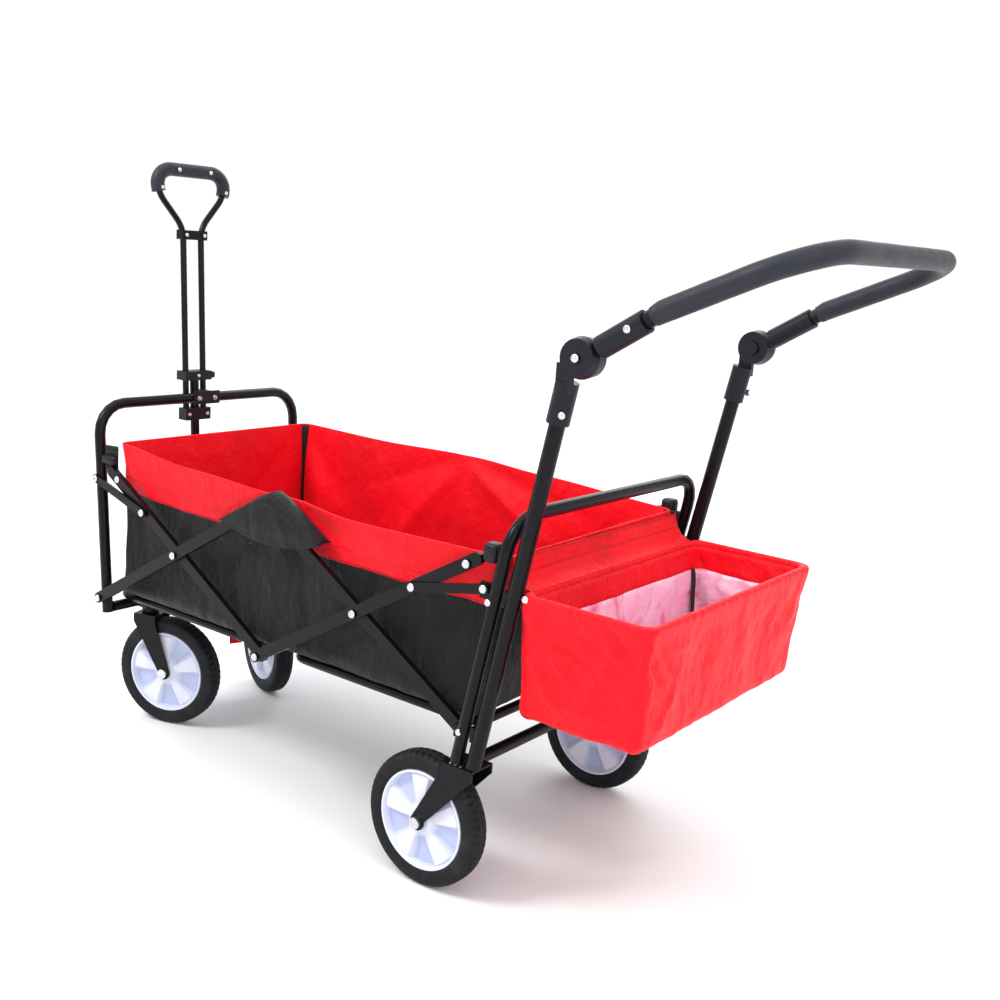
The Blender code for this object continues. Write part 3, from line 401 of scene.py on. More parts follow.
def smooth_table(xs, values):
    """A smooth function through a few (x, value) knots."""

    def at(x):
        place = np.clip(x, xs[0], xs[-1])
        i = np.clip(np.searchsorted(xs, place) - 1, 0, len(xs) - 2)
        left, right = np.take(xs, i), np.take(xs, i + 1)
        share = (place - left) / (right - left)
        share = share * share * (3 - 2 * share)
        return np.take(values, i) * (1 - share) + np.take(values, i + 1) * share

    return at


def tube_mesh(name, path, radii, sides, finish):
    """A round tube of the push handle along a path, with one radius for each point and closed ends."""
    count = len(path)
    points, faces, uvs = [], [], []
    side = None
    for i, (place, radius) in enumerate(zip(path, radii)):
        tangent = (path[min(i + 1, count - 1)] - path[max(i - 1, 0)]).normalized()
        side = tangent.orthogonal() if side is None else side - tangent * side.dot(tangent)
        side = side.normalized()
        other = tangent.cross(side)
        for angle in np.linspace(0, 2 * math.pi, sides, endpoint=False):
            points.append(place + side * (radius * math.cos(angle)) + other * (radius * math.sin(angle)))
    length = np.concatenate([[0], np.cumsum([(b - a).length for a, b in zip(path, path[1:])])])
    for i in range(count - 1):
        for j in range(sides):
            k = (j + 1) % sides
            faces.append((i * sides + j, (i + 1) * sides + j, (i + 1) * sides + k, i * sides + k))
            u0, u1 = (2 * math.pi * radii[0] * s / sides for s in (j, j + 1))
            uvs += [(length[i], u0), (length[i + 1], u0), (length[i + 1], u1), (length[i], u1)]
    faces += [tuple(range(sides))[::-1], tuple((count - 1) * sides + j for j in range(sides))]
    uvs += [(0, 0)] * (2 * sides)
    return piece(name, points, faces, finish, "push_handle", uvs)


# ---------------------------------------------------------------- cargo basket
RIM_NEAR = smooth_table(
    (CARGO_LOW.x, -0.40, MIDDLE_X, 0.02, CARGO_HIGH.x), (0.5390, 0.5240, 0.5180, 0.5090, 0.5130)
)
RIM_FAR = smooth_table(
    (CARGO_LOW.x, -0.36, MIDDLE_X + 0.04, 0.01, CARGO_HIGH.x), (0.5390, 0.5360, 0.5410, 0.5330, 0.5210)
)
FLOOR_Z = CARGO_LOW.z + 0.0004
CORNER = 0.014
CARGO_COUNTS = (104, 54, 104, 54)  # points along each wall
SPAN = 0.83  # of one side's scissor bars


def rear_shift(z):
    """How far the rear wall leans forwards of its rim."""
    return (0.5250 - z) * FRAME_LEAN


def cargo_folds(points, normals, share):
    """Outward movement of the cargo basket's walls. share runs from the rim, 0, to the floor, 1."""
    long_wall = np.abs(normals[:, 1]) > 0.7
    end_wall = ~long_wall
    side = np.sign(points[:, 1])
    belly = np.sin(np.pi * np.clip(share, 0, 1)) ** 0.8
    mid_pull = np.cos(np.pi * (points[:, 0] - MIDDLE_X) / SPAN) ** 2
    move = -0.0065 * belly * long_wall - 0.0055 * belly * end_wall
    move -= 0.0040 * belly * (1 - mid_pull) * long_wall
    flat, across = points[:, [0, 2]], points[:, [1, 2]]
    top = (MIDDLE_X + 0.030, 0.535)
    radiating = (
        ((-0.330, 0.330), -0.0085, 0.020),
        ((-0.420, 0.440), 0.0050, 0.018),
        ((-0.105, 0.300), -0.0080, 0.022),
        ((0.035, 0.420), -0.0110, 0.018),
        ((0.150, 0.470), 0.0060, 0.020),
        ((-0.200, 0.290), 0.0050, 0.016),
    )
    move += long_wall * folds(flat, [(top, *crease) for crease in radiating])
    diagonals = (
        ((0.040, 0.430), (-0.060, 0.285), -0.0080, 0.016),
        ((0.215, 0.500), (0.060, 0.400), 0.0065, 0.020),
        ((0.215, 0.480), (0.150, 0.300), -0.0060, 0.018),
        ((-0.560, 0.520), (-0.440, 0.400), 0.0060, 0.022),
        ((-0.550, 0.480), (-0.500, 0.300), -0.0060, 0.018),
        ((-0.300, 0.400), (-0.260, 0.280), -0.0050, 0.014),
        ((0.100, 0.390), (0.030, 0.290), 0.0050, 0.014),
    )
    move += long_wall * folds(flat, diagonals)
    ends = (
        ((-0.200, 0.520), (-0.050, 0.350), -0.0060, 0.024),
        ((0.190, 0.520), (0.060, 0.400), 0.0050, 0.022),
        ((0.000, 0.500), (0.090, 0.310), -0.0055, 0.022),
        ((-0.150, 0.400), (0.010, 0.300), 0.0050, 0.018),
    )
    move += end_wall * folds(across, ends)
    ripple = np.array([fractal((p[0], p[1] + 2 * s, p[2] * 0.6), 9.0, 1 + s) for p, s in zip(points, side)])
    small = np.array([fractal((p[0], p[1], p[2] * 0.5), 26.0, 5, 3) for p in points])
    return move + (0.0032 * ripple + 0.0014 * small) * np.clip(share * 6, 0.10, 1)


def cargo_ring(z_share, inset):
    """One level of the cargo basket: 0 at the rim, 1 at the foot of the walls."""
    low = (CARGO_LOW.x + inset, CARGO_LOW.y + inset)
    high = (CARGO_HIGH.x - inset, CARGO_HIGH.y - inset)
    flat, normals = rounded_rectangle(low, high, CORNER, CARGO_COUNTS)
    side = flat[:, 1] / high[1]
    mix = (side + 1) / 2
    rim = RIM_NEAR(flat[:, 0]) * (1 - mix) + RIM_FAR(flat[:, 0]) * mix
    slack = 0.0095 * np.abs(np.sin(2 * np.pi * (flat[:, 0] - MIDDLE_X) / SPAN)) * (np.abs(normals[:, 1]) > 0.5)
    foot = FLOOR_Z + 0.014 + slack
    z = rim + (foot - rim) * z_share
    rear = np.clip((flat[:, 0] - 0.0) / high[0], 0, 1)
    x = flat[:, 0] - rear_shift(z) * rear
    return np.column_stack([x, flat[:, 1], z]), normals


ROLL_SHARE = 0.135  # depth of the stuffed roll along the rear rim
OUTER_LIMIT = 0.2292  # inside the inner scissor bars


def cargo_wall(z_share, inset, extra=0.0, roll_way=1):
    """A finished level of the wall, with its folds. extra moves it outwards, and roll_way is 1 where the
    stuffed roll at the rear pushes the cloth outwards, -1 where it pushes it inwards."""
    points, normals = cargo_ring(z_share, inset)
    move = cargo_folds(points, normals, np.full(len(points), z_share)) + extra
    rear = normals[:, 0] > 0.5
    roll = math.sin(math.pi * min(1, z_share / ROLL_SHARE)) ** 0.6
    move += rear * (roll_way * 0.0048 * roll - 0.0030 * math.exp(-(((z_share - ROLL_SHARE) / 0.03) ** 2)))
    points[:, :2] += normals * move[:, None]
    points[:, 1] = np.clip(points[:, 1], -OUTER_LIMIT + 0.0004, OUTER_LIMIT - 0.0004)
    points[:, 0] = np.maximum(points[:, 0], CARGO_LOW.x - 0.002)
    return points


def cargo_floor_rings(last_wall, inset, drop):
    """From the foot of the wall, round a soft bottom edge, then in over the floor boards."""
    low = (CARGO_LOW.x + inset, CARGO_LOW.y + inset)
    high = (CARGO_HIGH.x - rear_shift(FLOOR_Z) - inset, CARGO_HIGH.y - inset)
    normals = rounded_rectangle(low, high, CORNER, CARGO_COUNTS)[1]
    rings = bottom_edge(last_wall, normals, last_wall[:, 2] - (FLOOR_Z + drop))
    middle = np.array([(CARGO_LOW.x + CARGO_HIGH.x) / 2, 0.0])
    start = rings[-1][:, :2]
    for step in range(1, 10):
        share = step / 9 * 0.97
        xy = start + (middle - start) * share
        z = np.full(len(xy), FLOOR_Z + drop)
        rings.append(np.column_stack([xy, z]))
    return rings


def cargo_basket():
    """Red lining with a folded-over band, the black body outside it, and the tapes in its corners."""
    inner_walls = [cargo_wall(share, 0.0036, roll_way=-1) for share in np.linspace(0, 1, 34)]
    inner = inner_walls + cargo_floor_rings(inner_walls[-1], 0.0036, 0.0018)
    band = [cargo_wall(share, 0.0014) for share in np.linspace(0, 0.325, 13)]
    fold_over = []
    for step in range(1, 5):
        angle = math.pi * step / 5
        middle = (band[0] + inner_walls[0]) / 2
        half = (band[0] - inner_walls[0]) / 2
        over = middle + half * math.cos(angle)
        over[:, 2] += 0.0022 * math.sin(angle)
        fold_over.append(over)
    red = loft("cargo_lining", band[::-1] + fold_over + inner, "red_cloth", fill=True)
    thicken(red, 0.0007)
    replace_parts(red, "cargo_basket")
    body_walls = [cargo_wall(share, 0.0024, -0.0004) for share in np.linspace(0.295, 1, 26)]
    body = loft(
        "cargo_body_black",
        body_walls + cargo_floor_rings(body_walls[-1], 0.0024, 0.0006),
        "black_cloth",
        fill=True,
        slot="black_board",
    )
    thicken(body, 0.0007)
    return [red, body, *corner_bindings(inner_walls)]


def corner_bindings(inner_walls):
    """A black tape down each inner corner seam."""
    made = []
    names = ("rear_left", "rear_right", "front_right", "front_left")
    last = -1
    for name, count in zip(names, CARGO_COUNTS):
        last += count
        centre = last + 3
        last += 5
        rings = []
        for points in inner_walls[:31]:
            spots = [(centre + k) % len(points) for k in (-2, -1, 0, 1, 2)]
            middle = points.mean(0)
            strip = []
            for spot in spots:
                inward = middle - points[spot]
                inward[2] = 0
                inward /= np.linalg.norm(inward)
                strip.append(points[spot] + inward * 0.0013)
            rings.append(strip)
        tape = loft(f"corner_binding_{name}", rings, "webbing", closed=False, slot="black_board")
        thicken(tape, 0.0009)
        made.append(tape)
    return made


def squash_with_fold(objects):
    """The fabric of the cargo basket is carried by the rear frame, each piece with a mesh of its own."""
    for obj in objects:
        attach(obj, "rear_frame")
        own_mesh(obj)


# ---------------------------------------------------------------- flaps over the middle pivots
def flap(side_name, side):
    """The pocket that slips over the middle top pivot, with a curved lower edge."""
    left, peak, right = (np.array(place) for place in ((-0.276, 0.4665), (-0.160, 0.5330), (-0.050, 0.4690)))
    columns, rows = 25, 13
    top = []
    for share in np.linspace(0, 1, columns):
        if share < 0.5:
            place = left + (peak - left) * (share / 0.5)
        else:
            place = peak + (right - peak) * ((share - 0.5) / 0.5)
        place = place + np.array([0.0, -0.004 * math.exp(-(((share - 0.5) / 0.05) ** 2))])
        top.append(place)
    low = []
    for share in np.linspace(0, 1, columns):
        x = left[0] + 0.004 + (right[0] - left[0] - 0.008) * share
        z = left[1] - 0.0005 - 0.0185 * math.sin(math.pi * share) ** 0.85
        low.append(np.array([x, z]))
    rings = []
    wall_y, face_y = 0.2285, BAR_FACE + 0.0030
    for y_share in np.linspace(0, 1, 4):
        y = wall_y + (face_y - 0.0035 - wall_y) * y_share
        lift = 0.0022 * math.sin(math.pi * y_share)
        rings.append([(p[0], side * y, p[1] + lift) for p in top])
    for row in range(rows):
        share = row / (rows - 1)
        ring = []
        for column, (a, b) in enumerate(zip(top, low)):
            place = a + (b - a) * share
            c = column / (columns - 1)
            puff = 0.0046 * math.sin(math.pi * min(1, share + 0.10)) * math.sin(math.pi * c)
            wrinkle = 0.0016 * fractal((place[0], side, place[1]), 30.0, 11, 3)
            puff += 0.0030 * math.exp(-(((c - 0.56 - 0.16 * share) / 0.035) ** 2)) * share
            corner = 0.0035 * math.exp(-((share / 0.05) ** 2))
            ring.append((place[0], side * (face_y - corner + puff + wrinkle * share + 0.0006), place[1]))
        rings.append(ring)
    made = loft(f"pivot_flap_{side_name}", rings, "black_flap", closed=False, slot="black_board")
    thicken(made, 0.0010)
    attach(made, "bars_3")


# ---------------------------------------------------------------- rear basket
BAG_COUNTS = (40, 76, 40, 76)
ROD_Z = (ROD_LOW.z + ROD_HIGH.z) / 2
HEM = 0.0058  # radius of the hem round the rod


def bag_ring(inset, z, rounding):
    """A level of the rear basket. inset is measured from the CAD basket's outer faces."""
    low = (BAG_LOW.x + inset - 0.001, BAG_LOW.y + inset)
    high = (BAG_HIGH.x - inset, BAG_HIGH.y - inset)
    flat, normals = rounded_rectangle(low, high, rounding, BAG_COUNTS)
    return np.column_stack([flat, np.full(len(flat), z)]), normals


def bag_folds(points, normals, share):
    """Outward movement of the rear basket's walls. share runs from the hem, 0, to the floor, 1."""
    move = -0.0018 * np.sin(np.pi * np.clip(share, 0, 1)) * np.ones(len(points))
    side_wall = np.abs(normals[:, 1]) > 0.6
    back_wall = normals[:, 0] > 0.6
    front_wall = normals[:, 0] < -0.6
    flat, across = points[:, [0, 2]], points[:, [1, 2]]
    sides = (
        ((0.325, 0.455), (0.420, 0.355), 0.0060, 0.012),
        ((0.330, 0.430), (0.455, 0.385), -0.0060, 0.010),
        ((0.322, 0.400), (0.400, 0.320), 0.0055, 0.012),
        ((0.400, 0.445), (0.490, 0.400), -0.0065, 0.012),
        ((0.470, 0.460), (0.415, 0.330), 0.0050, 0.014),
        ((0.345, 0.350), (0.480, 0.330), 0.0040, 0.012),
        ((0.500, 0.350), (0.440, 0.315), -0.0050, 0.012),
        ((0.452, 0.464), (0.486, 0.418), -0.0070, 0.008),
        ((0.505, 0.452), (0.486, 0.418), -0.0050, 0.008),
    )
    move += 1.7 * side_wall * folds(flat, sides)
    back = (
        ((-0.228, 0.462), (-0.150, 0.390), -0.0085, 0.009),
        ((-0.190, 0.440), (-0.120, 0.440), 0.0060, 0.012),
        ((-0.150, 0.395), (-0.185, 0.330), 0.0055, 0.011),
        ((-0.100, 0.455), (-0.060, 0.330), -0.0040, 0.022),
        ((0.020, 0.450), (0.060, 0.330), 0.0040, 0.022),
        ((0.120, 0.455), (0.100, 0.330), -0.0040, 0.020),
        ((0.210, 0.455), (0.170, 0.350), 0.0050, 0.016),
        ((-0.215, 0.340), (-0.130, 0.315), 0.0050, 0.012),
        ((-0.230, 0.440), (-0.196, 0.392), -0.0080, 0.008),
    )
    move += back_wall * folds(across, back)
    gathers = np.sin(points[:, 1] * 520 + 1.7 * np.sin(points[:, 1] * 61))
    move += front_wall * 0.0011 * gathers * np.exp(-((share / 0.30) ** 2)) * (share > 0.02)
    ripple = np.array([fractal((p[0], p[1], p[2] * 0.8), 14.0, 21) for p in points])
    small = np.array([fractal(p, 38.0, 25, 3) for p in points])
    out = move + (0.0032 * ripple + 0.0014 * small) * np.clip(share * 6, 0.1, 1)
    return np.where(front_wall, np.minimum(out, 0.0004), out)


def rear_basket():
    """Red bag hung on the rod by its hem, with a pale coated lining."""
    top_z, foot_z = ROD_Z - HEM * 0.6, BAG_LOW.z + 0.016
    rod_inset = -((ROD_HIGH.y - BAG_HIGH.y) - (ROD_HIGH.z - ROD_LOW.z) / 2)
    shell = []
    for depth in np.linspace(0.046, 0.0, 9):
        points, normals = bag_ring(0.0042, top_z - depth, 0.012)
        move = bag_folds(points, normals, depth / 0.17) - 0.0004
        points[:, :2] += normals * move[:, None]
        shell.append(points)
    for angle in np.linspace(math.radians(200), math.radians(-10), 12):
        inset = rod_inset - HEM * math.cos(angle)
        points, normals = bag_ring(inset, ROD_Z + HEM * math.sin(angle), 0.020)
        pucker = 0.0006 * np.sin(np.arange(len(points)) * 1.9)
        points[:, :2] += normals * pucker[:, None]
        points[:, 0] = np.maximum(points[:, 0], BAG_LOW.x - 0.0030)
        shell.append(points)
    walls = []
    for share in np.linspace(0.04, 1, 26):
        z = top_z + (foot_z - top_z) * share
        flare = (rod_inset - HEM * 0.9) * (1 - share) ** 1.3
        points, normals = bag_ring(flare + 0.0022 * share, z, 0.018)
        move = bag_folds(points, normals, np.full(len(points), share))
        move += (normals[:, 0] < -0.6) * 0.0095 * share
        points[:, :2] += normals * move[:, None]
        points[:, 0] = np.maximum(points[:, 0], BAG_LOW.x - 0.0030 - 0.0110 * share)
        walls.append(points)
    shell += walls + bottom_edge(walls[-1], bag_ring(0.004, foot_z, 0.014)[1], 0.0155)
    middle = np.array([(BAG_LOW.x + BAG_HIGH.x) / 2, 0.0])
    start = shell[-1]
    for step in range(1, 9):
        xy = start[:, :2] + (middle - start[:, :2]) * (step / 8 * 0.97)
        z = start[:, 2] + 0.0012 * np.array([fractal((p[0], p[1], 0), 22.0, 31, 3) for p in xy])
        shell.append(np.column_stack([xy, np.maximum(z, BAG_LOW.z - 0.001)]))
    bag = loft("rear_basket_shell", shell, "red_bag", "rear_basket", fill=True)
    thicken(bag, 0.0008)
    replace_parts(bag, "rear_basket")

    rings = []
    for depth in np.linspace(0.034, top_z - (BAG_LOW.z + 0.012), 16):
        share = depth / (top_z - foot_z)
        points, normals = bag_ring(0.0062, top_z - depth, 0.012)
        move = bag_folds(points, normals, np.full(len(points), share))
        extra = -0.0012 - 0.0035 * np.clip(share, 0, 1)
        ruck = 0.0030 * np.array([fractal(p, 30.0, 41, 3) for p in points]) * share
        points[:, :2] += normals * (np.minimum(move, 0.004) + extra - np.abs(ruck))[:, None]
        rings.append(points)
    last = rings[-1]
    for step in range(1, 10):
        share = step / 9 * 0.97
        xy = last[:, :2] + (middle - last[:, :2]) * share
        ruck = np.array([fractal((p[0], p[1], 0), 16.0, 51) for p in xy])
        z = BAG_LOW.z + 0.0060 + 0.0060 * np.abs(ruck) + (last[:, 2] - BAG_LOW.z - 0.006) * (1 - share) ** 6
        rings.append(np.column_stack([xy, z]))
    lining = loft("rear_basket_lining", rings, "lining", "rear_basket", fill=True, slot="red_nylon")
    thicken(lining, 0.0006)


def bag_strap():
    """A black webbing strap from the front hem down to the floor of the rear basket."""
    x0 = BAG_LOW.x + 0.012
    path = [
        (x0 - 0.003, 0.2140, 0.4360),
        (x0 + 0.001, 0.2130, 0.4180),
        (x0 + 0.004, 0.2105, 0.3850),
        (x0 + 0.008, 0.2075, 0.3550),
        (x0 + 0.016, 0.2045, 0.3330),
        (x0 + 0.032, 0.2010, 0.3210),
    ]
    strip("rear_basket_strap", path, (0, 1, 0), 0.0110, 0.0014, "webbing", "rear_basket", "black_board")


def strip(name, path, wide, width, thickness, finish, body, slot):
    """A flat strap along a smooth path, whose wide side is along the given direction."""
    path = np.array(path, float)
    steps = np.linspace(0, len(path) - 1, 5 * len(path))
    spline = []
    for s in steps:
        i = min(int(s), len(path) - 2)
        t = s - i
        p0, p1, p2, p3 = (path[min(max(i + k, 0), len(path) - 1)] for k in (-1, 0, 1, 2))
        spline.append(
            0.5
            * (
                2 * p1
                + (p2 - p0) * t
                + (2 * p0 - 5 * p1 + 4 * p2 - p3) * t * t
                + (3 * p1 - p0 - 3 * p2 + p3) * t**3
            )
        )
    wide = np.array(wide, float)
    rings = [[p - wide * width * (0.5 - k / 4) for k in range(5)] for p in spline]
    made = loft(name, np.transpose(np.array(rings), (1, 0, 2)), finish, body, closed=False, slot=slot)
    thicken(made, thickness)


# ---------------------------------------------------------------- wheels
TREAD_BLOCKS = 54
FACETS = 5
WEDGE_RISE = 0.0085


def axis_of(node):
    """The long direction of a slim CAD node, pointing to +Y."""
    co = np.array([v.co for v in NODES[node].data.vertices], float)
    axis = np.linalg.svd(co - co.mean(0), full_matrices=False)[2][0]
    return Vector(axis if axis[1] > 0 else -axis)


def wheel_space(tyre_node, axle_node):
    """A wheel's centre, its forward and sideways directions, and its radius."""
    low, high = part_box(tyre_node)
    across = axis_of(axle_node)
    across = Vector((across.x, across.y, 0)).normalized()
    forward = Vector((across.y, -across.x, 0))
    return (low + high) / 2, forward, across, (high.z - low.z) / 2


def revolve(name, space, profile_at, count, angles, finish, body):
    """A closed ring profile turned round a wheel's axis. profile_at(angle) gives its
    (radius, across) points."""
    centre, forward, across = space[:3]
    points, faces, uvs = [], [], []
    for angle in angles:
        spoke = forward * math.cos(angle) + Vector((0, 0, math.sin(angle)))
        points += [centre + spoke * radius + across * a for radius, a in profile_at(angle)]
    turns = len(angles)
    for i in range(turns):
        n = (i + 1) % turns
        for j in range(count):
            k = (j + 1) % count
            faces.append((i * count + j, n * count + j, n * count + k, i * count + k))
            uvs += [(u * 0.01, v * 0.01) for u, v in ((i, j), (i + 1, j), (i + 1, k), (i, k))]
    made = piece(name, points, faces, finish, body, uvs)
    tool = bmesh.new()
    tool.from_mesh(made.data)
    bmesh.ops.recalc_face_normals(tool, faces=tool.faces)
    for edge in tool.edges:
        if len(edge.link_faces) == 2 and edge.calc_face_angle(0) > math.radians(38):
            edge.smooth = False
    tool.to_mesh(made.data)
    tool.free()
    return made


def tyre(name, node, axle, body):
    """A solid tyre whose two shoulders carry staggered grooves."""
    space = wheel_space(node, axle)
    crown = space[3]
    half = 0.0180
    base = [
        (0.0762, 0.0155),
        (0.0762, -0.0155),
        (0.0780, -0.0172),
        (0.0850, -0.0180),
        (0.0885, -0.0176),
        (0.0915, -0.0178),
        (0.0945, -0.0172),
        (0.0975, -0.0158),
        (0.0995, -0.0138),
        (0.1008, -0.0110),
        (0.1014, -0.0080),
        (0.1015, -0.0050),
        (0.1007, -0.0042),
        (0.1007, -0.0032),
        (0.1016, -0.0024),
    ]
    profile = base + [(r, -a) for r, a in base[:1:-1]]

    def at(angle):
        out = []
        for radius, a in profile:
            if radius > 0.0975 and abs(a) > 0.0036:
                phase = angle * TREAD_BLOCKS + (math.pi if a > 0 else 0) + abs(a) * 90
                groove = max(0.0, math.cos(phase) - 0.45) / 0.55
                radius -= 0.0017 * min(1.0, groove * 2.2)
            out.append((min(radius, crown), max(-half, min(half, a))))
        return out

    angles = np.linspace(0, 2 * math.pi, TREAD_BLOCKS * 8, endpoint=False)
    made = revolve(name, space, at, len(profile), angles, "rubber", body)
    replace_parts(made, node)
    return made


def wheel_disc(name, node, tyre_node, axle, body):
    """Pale moulded disc: a bright rim, five raised wedges with slanting sides, and a boss, with a painted blue
    shade on the low parts between the wedges.
    """
    space = wheel_space(tyre_node, axle)
    wedge = 2 * math.pi / FACETS
    rise = 0.14 * wedge

    def height(angle):
        place = (angle / wedge) % 1.0
        ramp = rise / wedge
        if place < ramp:
            return place / ramp
        if place < 0.5:
            return 1.0
        if place < 0.5 + ramp:
            return 1 - (place - 0.5) / ramp
        return 0.0

    def at(angle):
        lift = height(angle)
        face = []
        for radius, plain, share in (
            (0.0759, 0.0150, 0.0),
            (0.0748, 0.0168, 0.0),
            (0.0722, 0.0168, 0.0),
            (0.0710, 0.0130, 0.0),
            (0.0695, 0.0085, 0.35),
            (0.0675, 0.0055, 1.0),
            (0.0300, 0.0075, 1.0),
            (0.0235, 0.0125, 0.25),
            (0.0190, 0.0155, 0.0),
            (0.0170, 0.0182, 0.0),
            (0.0095, 0.0184, 0.0),
            (0.0080, 0.0170, 0.0),
        ):
            face.append((radius, plain + WEDGE_RISE * share * lift))
        return face + [(r, -a) for r, a in reversed(face)]

    ramps = []
    for k in range(FACETS):
        start = k * wedge
        ramps += list(start + np.linspace(0, rise, 4))
        ramps += list(start + np.linspace(rise, wedge / 2, 8)[1:])
        ramps += list(start + wedge / 2 + np.linspace(0, rise, 4)[1:])
        ramps += list(start + np.linspace(wedge / 2 + rise, wedge, 8)[1:-1])
    made = revolve(name, space, at, 24, ramps, "pale_plastic", body)
    # Painted shade: how strongly each point of the disc is tinted bluer, most where its face lies low between
    # the raised wedges.
    low = np.repeat([1.0 - height(angle) for angle in ramps], 24)
    in_wedge = np.tile([0, 0, 0, 0, 0.4, 1, 1, 0.3, 0, 0, 0, 0], 2)
    in_wedge[12:] = in_wedge[:12][::-1]
    recess_shade = made.data.attributes.new("recess_shade", "FLOAT", "POINT")
    recess_shade.data.foreach_set("value", (0.75 * low * np.tile(in_wedge, len(ramps))).astype(np.float32))
    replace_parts(made, node)
    return made


def wheels():
    """The disc and the tyre of all four wheels."""
    for side_name in SIDES:
        for end, fork in (("rear", "rear_axle"), ("front", "caster_axle")):
            body = f"{end}_wheel_{side_name}"
            tyre_node, disc_node = f"{end}_{side_name}_tyre", f"{end}_{side_name}_wheel_hub"
            axle = f"{fork}_{side_name}"
            wheel_disc(f"{end}_{side_name}_disc", disc_node, tyre_node, axle, body)
            tyre(f"{end}_{side_name}_treaded_tyre", tyre_node, axle, body)


# ---------------------------------------------------------------- rivets, bolts
LOW_PIVOT_Z = 0.257
HIGH_PIVOT_Z = 0.502
SMALL_BOLT = (0.0052, 0.0028)  # radius and height
MIDDLE_BOLT = (0.0056, 0.0028)
HUB_BOLT = (0.0058, 0.0030)
CLIP_BOLT = (0.0052, 0.0034)
GRIP_RIVET = (0.0038, 0.0022)
BRACKET_RIVET = (0.0040, 0.0022)
CLAMP_RIVET = (0.0036, 0.0020)
SPOT_WELD = (0.0022, 0.0010)
CLAMP_Z = 0.902


def dome(centre, axis, radius=0.0064, height=0.0031):
    """Points and faces of one pressed rivet head with a dimple, standing on centre along axis."""
    axis = Vector(axis).normalized()
    side = axis.orthogonal().normalized()
    other = axis.cross(side)
    profile = ((1.0, 0.0), (1.0, 0.25), (0.90, 0.62), (0.68, 0.90), (0.42, 1.0), (0.28, 0.94), (0.20, 0.70))
    steps = 16
    points = []
    for r, h in profile:
        for step in range(steps):
            angle = 2 * math.pi * step / steps
            out = side * math.cos(angle) + other * math.sin(angle)
            points.append(Vector(centre) + out * (radius * r) + axis * (height * h))
    points.append(Vector(centre) + axis * (height * 0.66))
    faces = []
    for i in range(len(profile) - 1):
        for j in range(steps):
            k = (j + 1) % steps
            faces.append((i * steps + j, i * steps + k, (i + 1) * steps + k, (i + 1) * steps + j))
    top, last = len(points) - 1, (len(profile) - 1) * steps
    faces += [(last + j, last + (j + 1) % steps, top) for j in range(steps)]
    faces.append(tuple(range(steps))[::-1])
    return points, faces


def heads(name, body, spots):
    """One piece that holds all rivet heads of a body. Each spot is (centre, axis) or
    (centre, axis, radius, height)."""
    points, faces = [], []
    for spot in spots:
        more, its_faces = dome(*spot)
        faces += [tuple(index + len(points) for index in face) for face in its_faces]
        points += more
    return piece(name, points, faces, "zinc", body)


def scissor_heads():
    """Rivets of the scissor bars, and of the plates that hold them to the end frames."""
    low_z, high_z, half, middle = LOW_PIVOT_Z, HIGH_PIVOT_Z, SPAN / 2, MIDDLE_X
    cross_z = (low_z + high_z) / 2
    face = BAR_FACE + 0.0002
    spots = {
        "front_frame": [(middle - half, low_z, face + 0.0003), (-0.6199, 0.472, 0.2446)],
        "bars_2": [(middle - half / 2, cross_z, face), (middle, high_z, face)],
        "bars_4": [
            (middle, low_z, face),
            (middle + half / 2, cross_z, face),
            (0.2265, 0.5010, face),
            (0.133, 0.447, 0.2538),
        ],
        "bars_1": [(-0.5640, 0.4785, 0.2388), (-0.4890, 0.4341, 0.2443)],
        "rear_frame": [(0.2602, 0.474, 0.2541)],
    }
    for body, places in spots.items():
        both = [((x, side * y, z), (0, side, 0)) for x, z, y in places for side in SIDES.values()]
        heads(f"rivets_{body}", body, both)


def hub_place():
    """The middle of the push handle's hinge axis."""
    low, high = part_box("hub_button_left")
    return Vector(((low.x + high.x) / 2, 0, (low.z + high.z) / 2))


def frame_bolts():
    """Bolts on the rear frame, the push tubes and the lower hub sockets."""
    hub = hub_place()
    face = -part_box("hub_lower_left")[0].y
    spots = []
    for side in SIDES.values():
        out = (0, side, 0)
        spots += [
            ((0.2720, side * 0.2575, 0.4585), out, *SMALL_BOLT),
            ((0.2365, side * 0.2557, 0.262), out, *MIDDLE_BOLT),
            ((hub.x, side * (face - 0.0002), hub.z), out, *HUB_BOLT),
            ((hub.x - 0.0145, side * 0.2605, hub.z - 0.0730), out, *SMALL_BOLT),
        ]
    heads("bolts_rear_frame", "rear_frame", spots)
    welds = []
    for side_name, side in SIDES.items():
        low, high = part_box(f"rear_fork_{side_name}")
        edge = low.y if side < 0 else high.y
        for share in (0.18, 0.40, 0.62):
            x = high.x - 0.050 + 0.040 * share
            welds.append(((x, edge - side * 0.006, high.z - 0.0002), (0, 0, 1), *SPOT_WELD))
    heads("spot_welds_rear_forks", "rear_frame", welds)


def handle_bolts():
    """Bolts of the push handle's sockets, and of the rear basket's rod."""
    hub = hub_place()
    along = Vector((math.cos(HANDLE_ANGLE), 0, math.sin(HANDLE_ANGLE)))
    spots = [
        (hub + along * 0.079 + Vector((0, side * 0.2592, 0)), (0, side, 0), *SMALL_BOLT)
        for side in SIDES.values()
    ]
    heads("bolts_push_handle", "push_handle", spots)
    hem_face = ROD_HIGH.y + HEM - (ROD_HIGH.z - ROD_LOW.z) / 2
    rim = [((ROD_LOW.x + 0.002, side * hem_face, ROD_Z), (0, side, 0), *MIDDLE_BOLT) for side in SIDES.values()]
    heads("bolts_rear_basket", "rear_basket", rim)


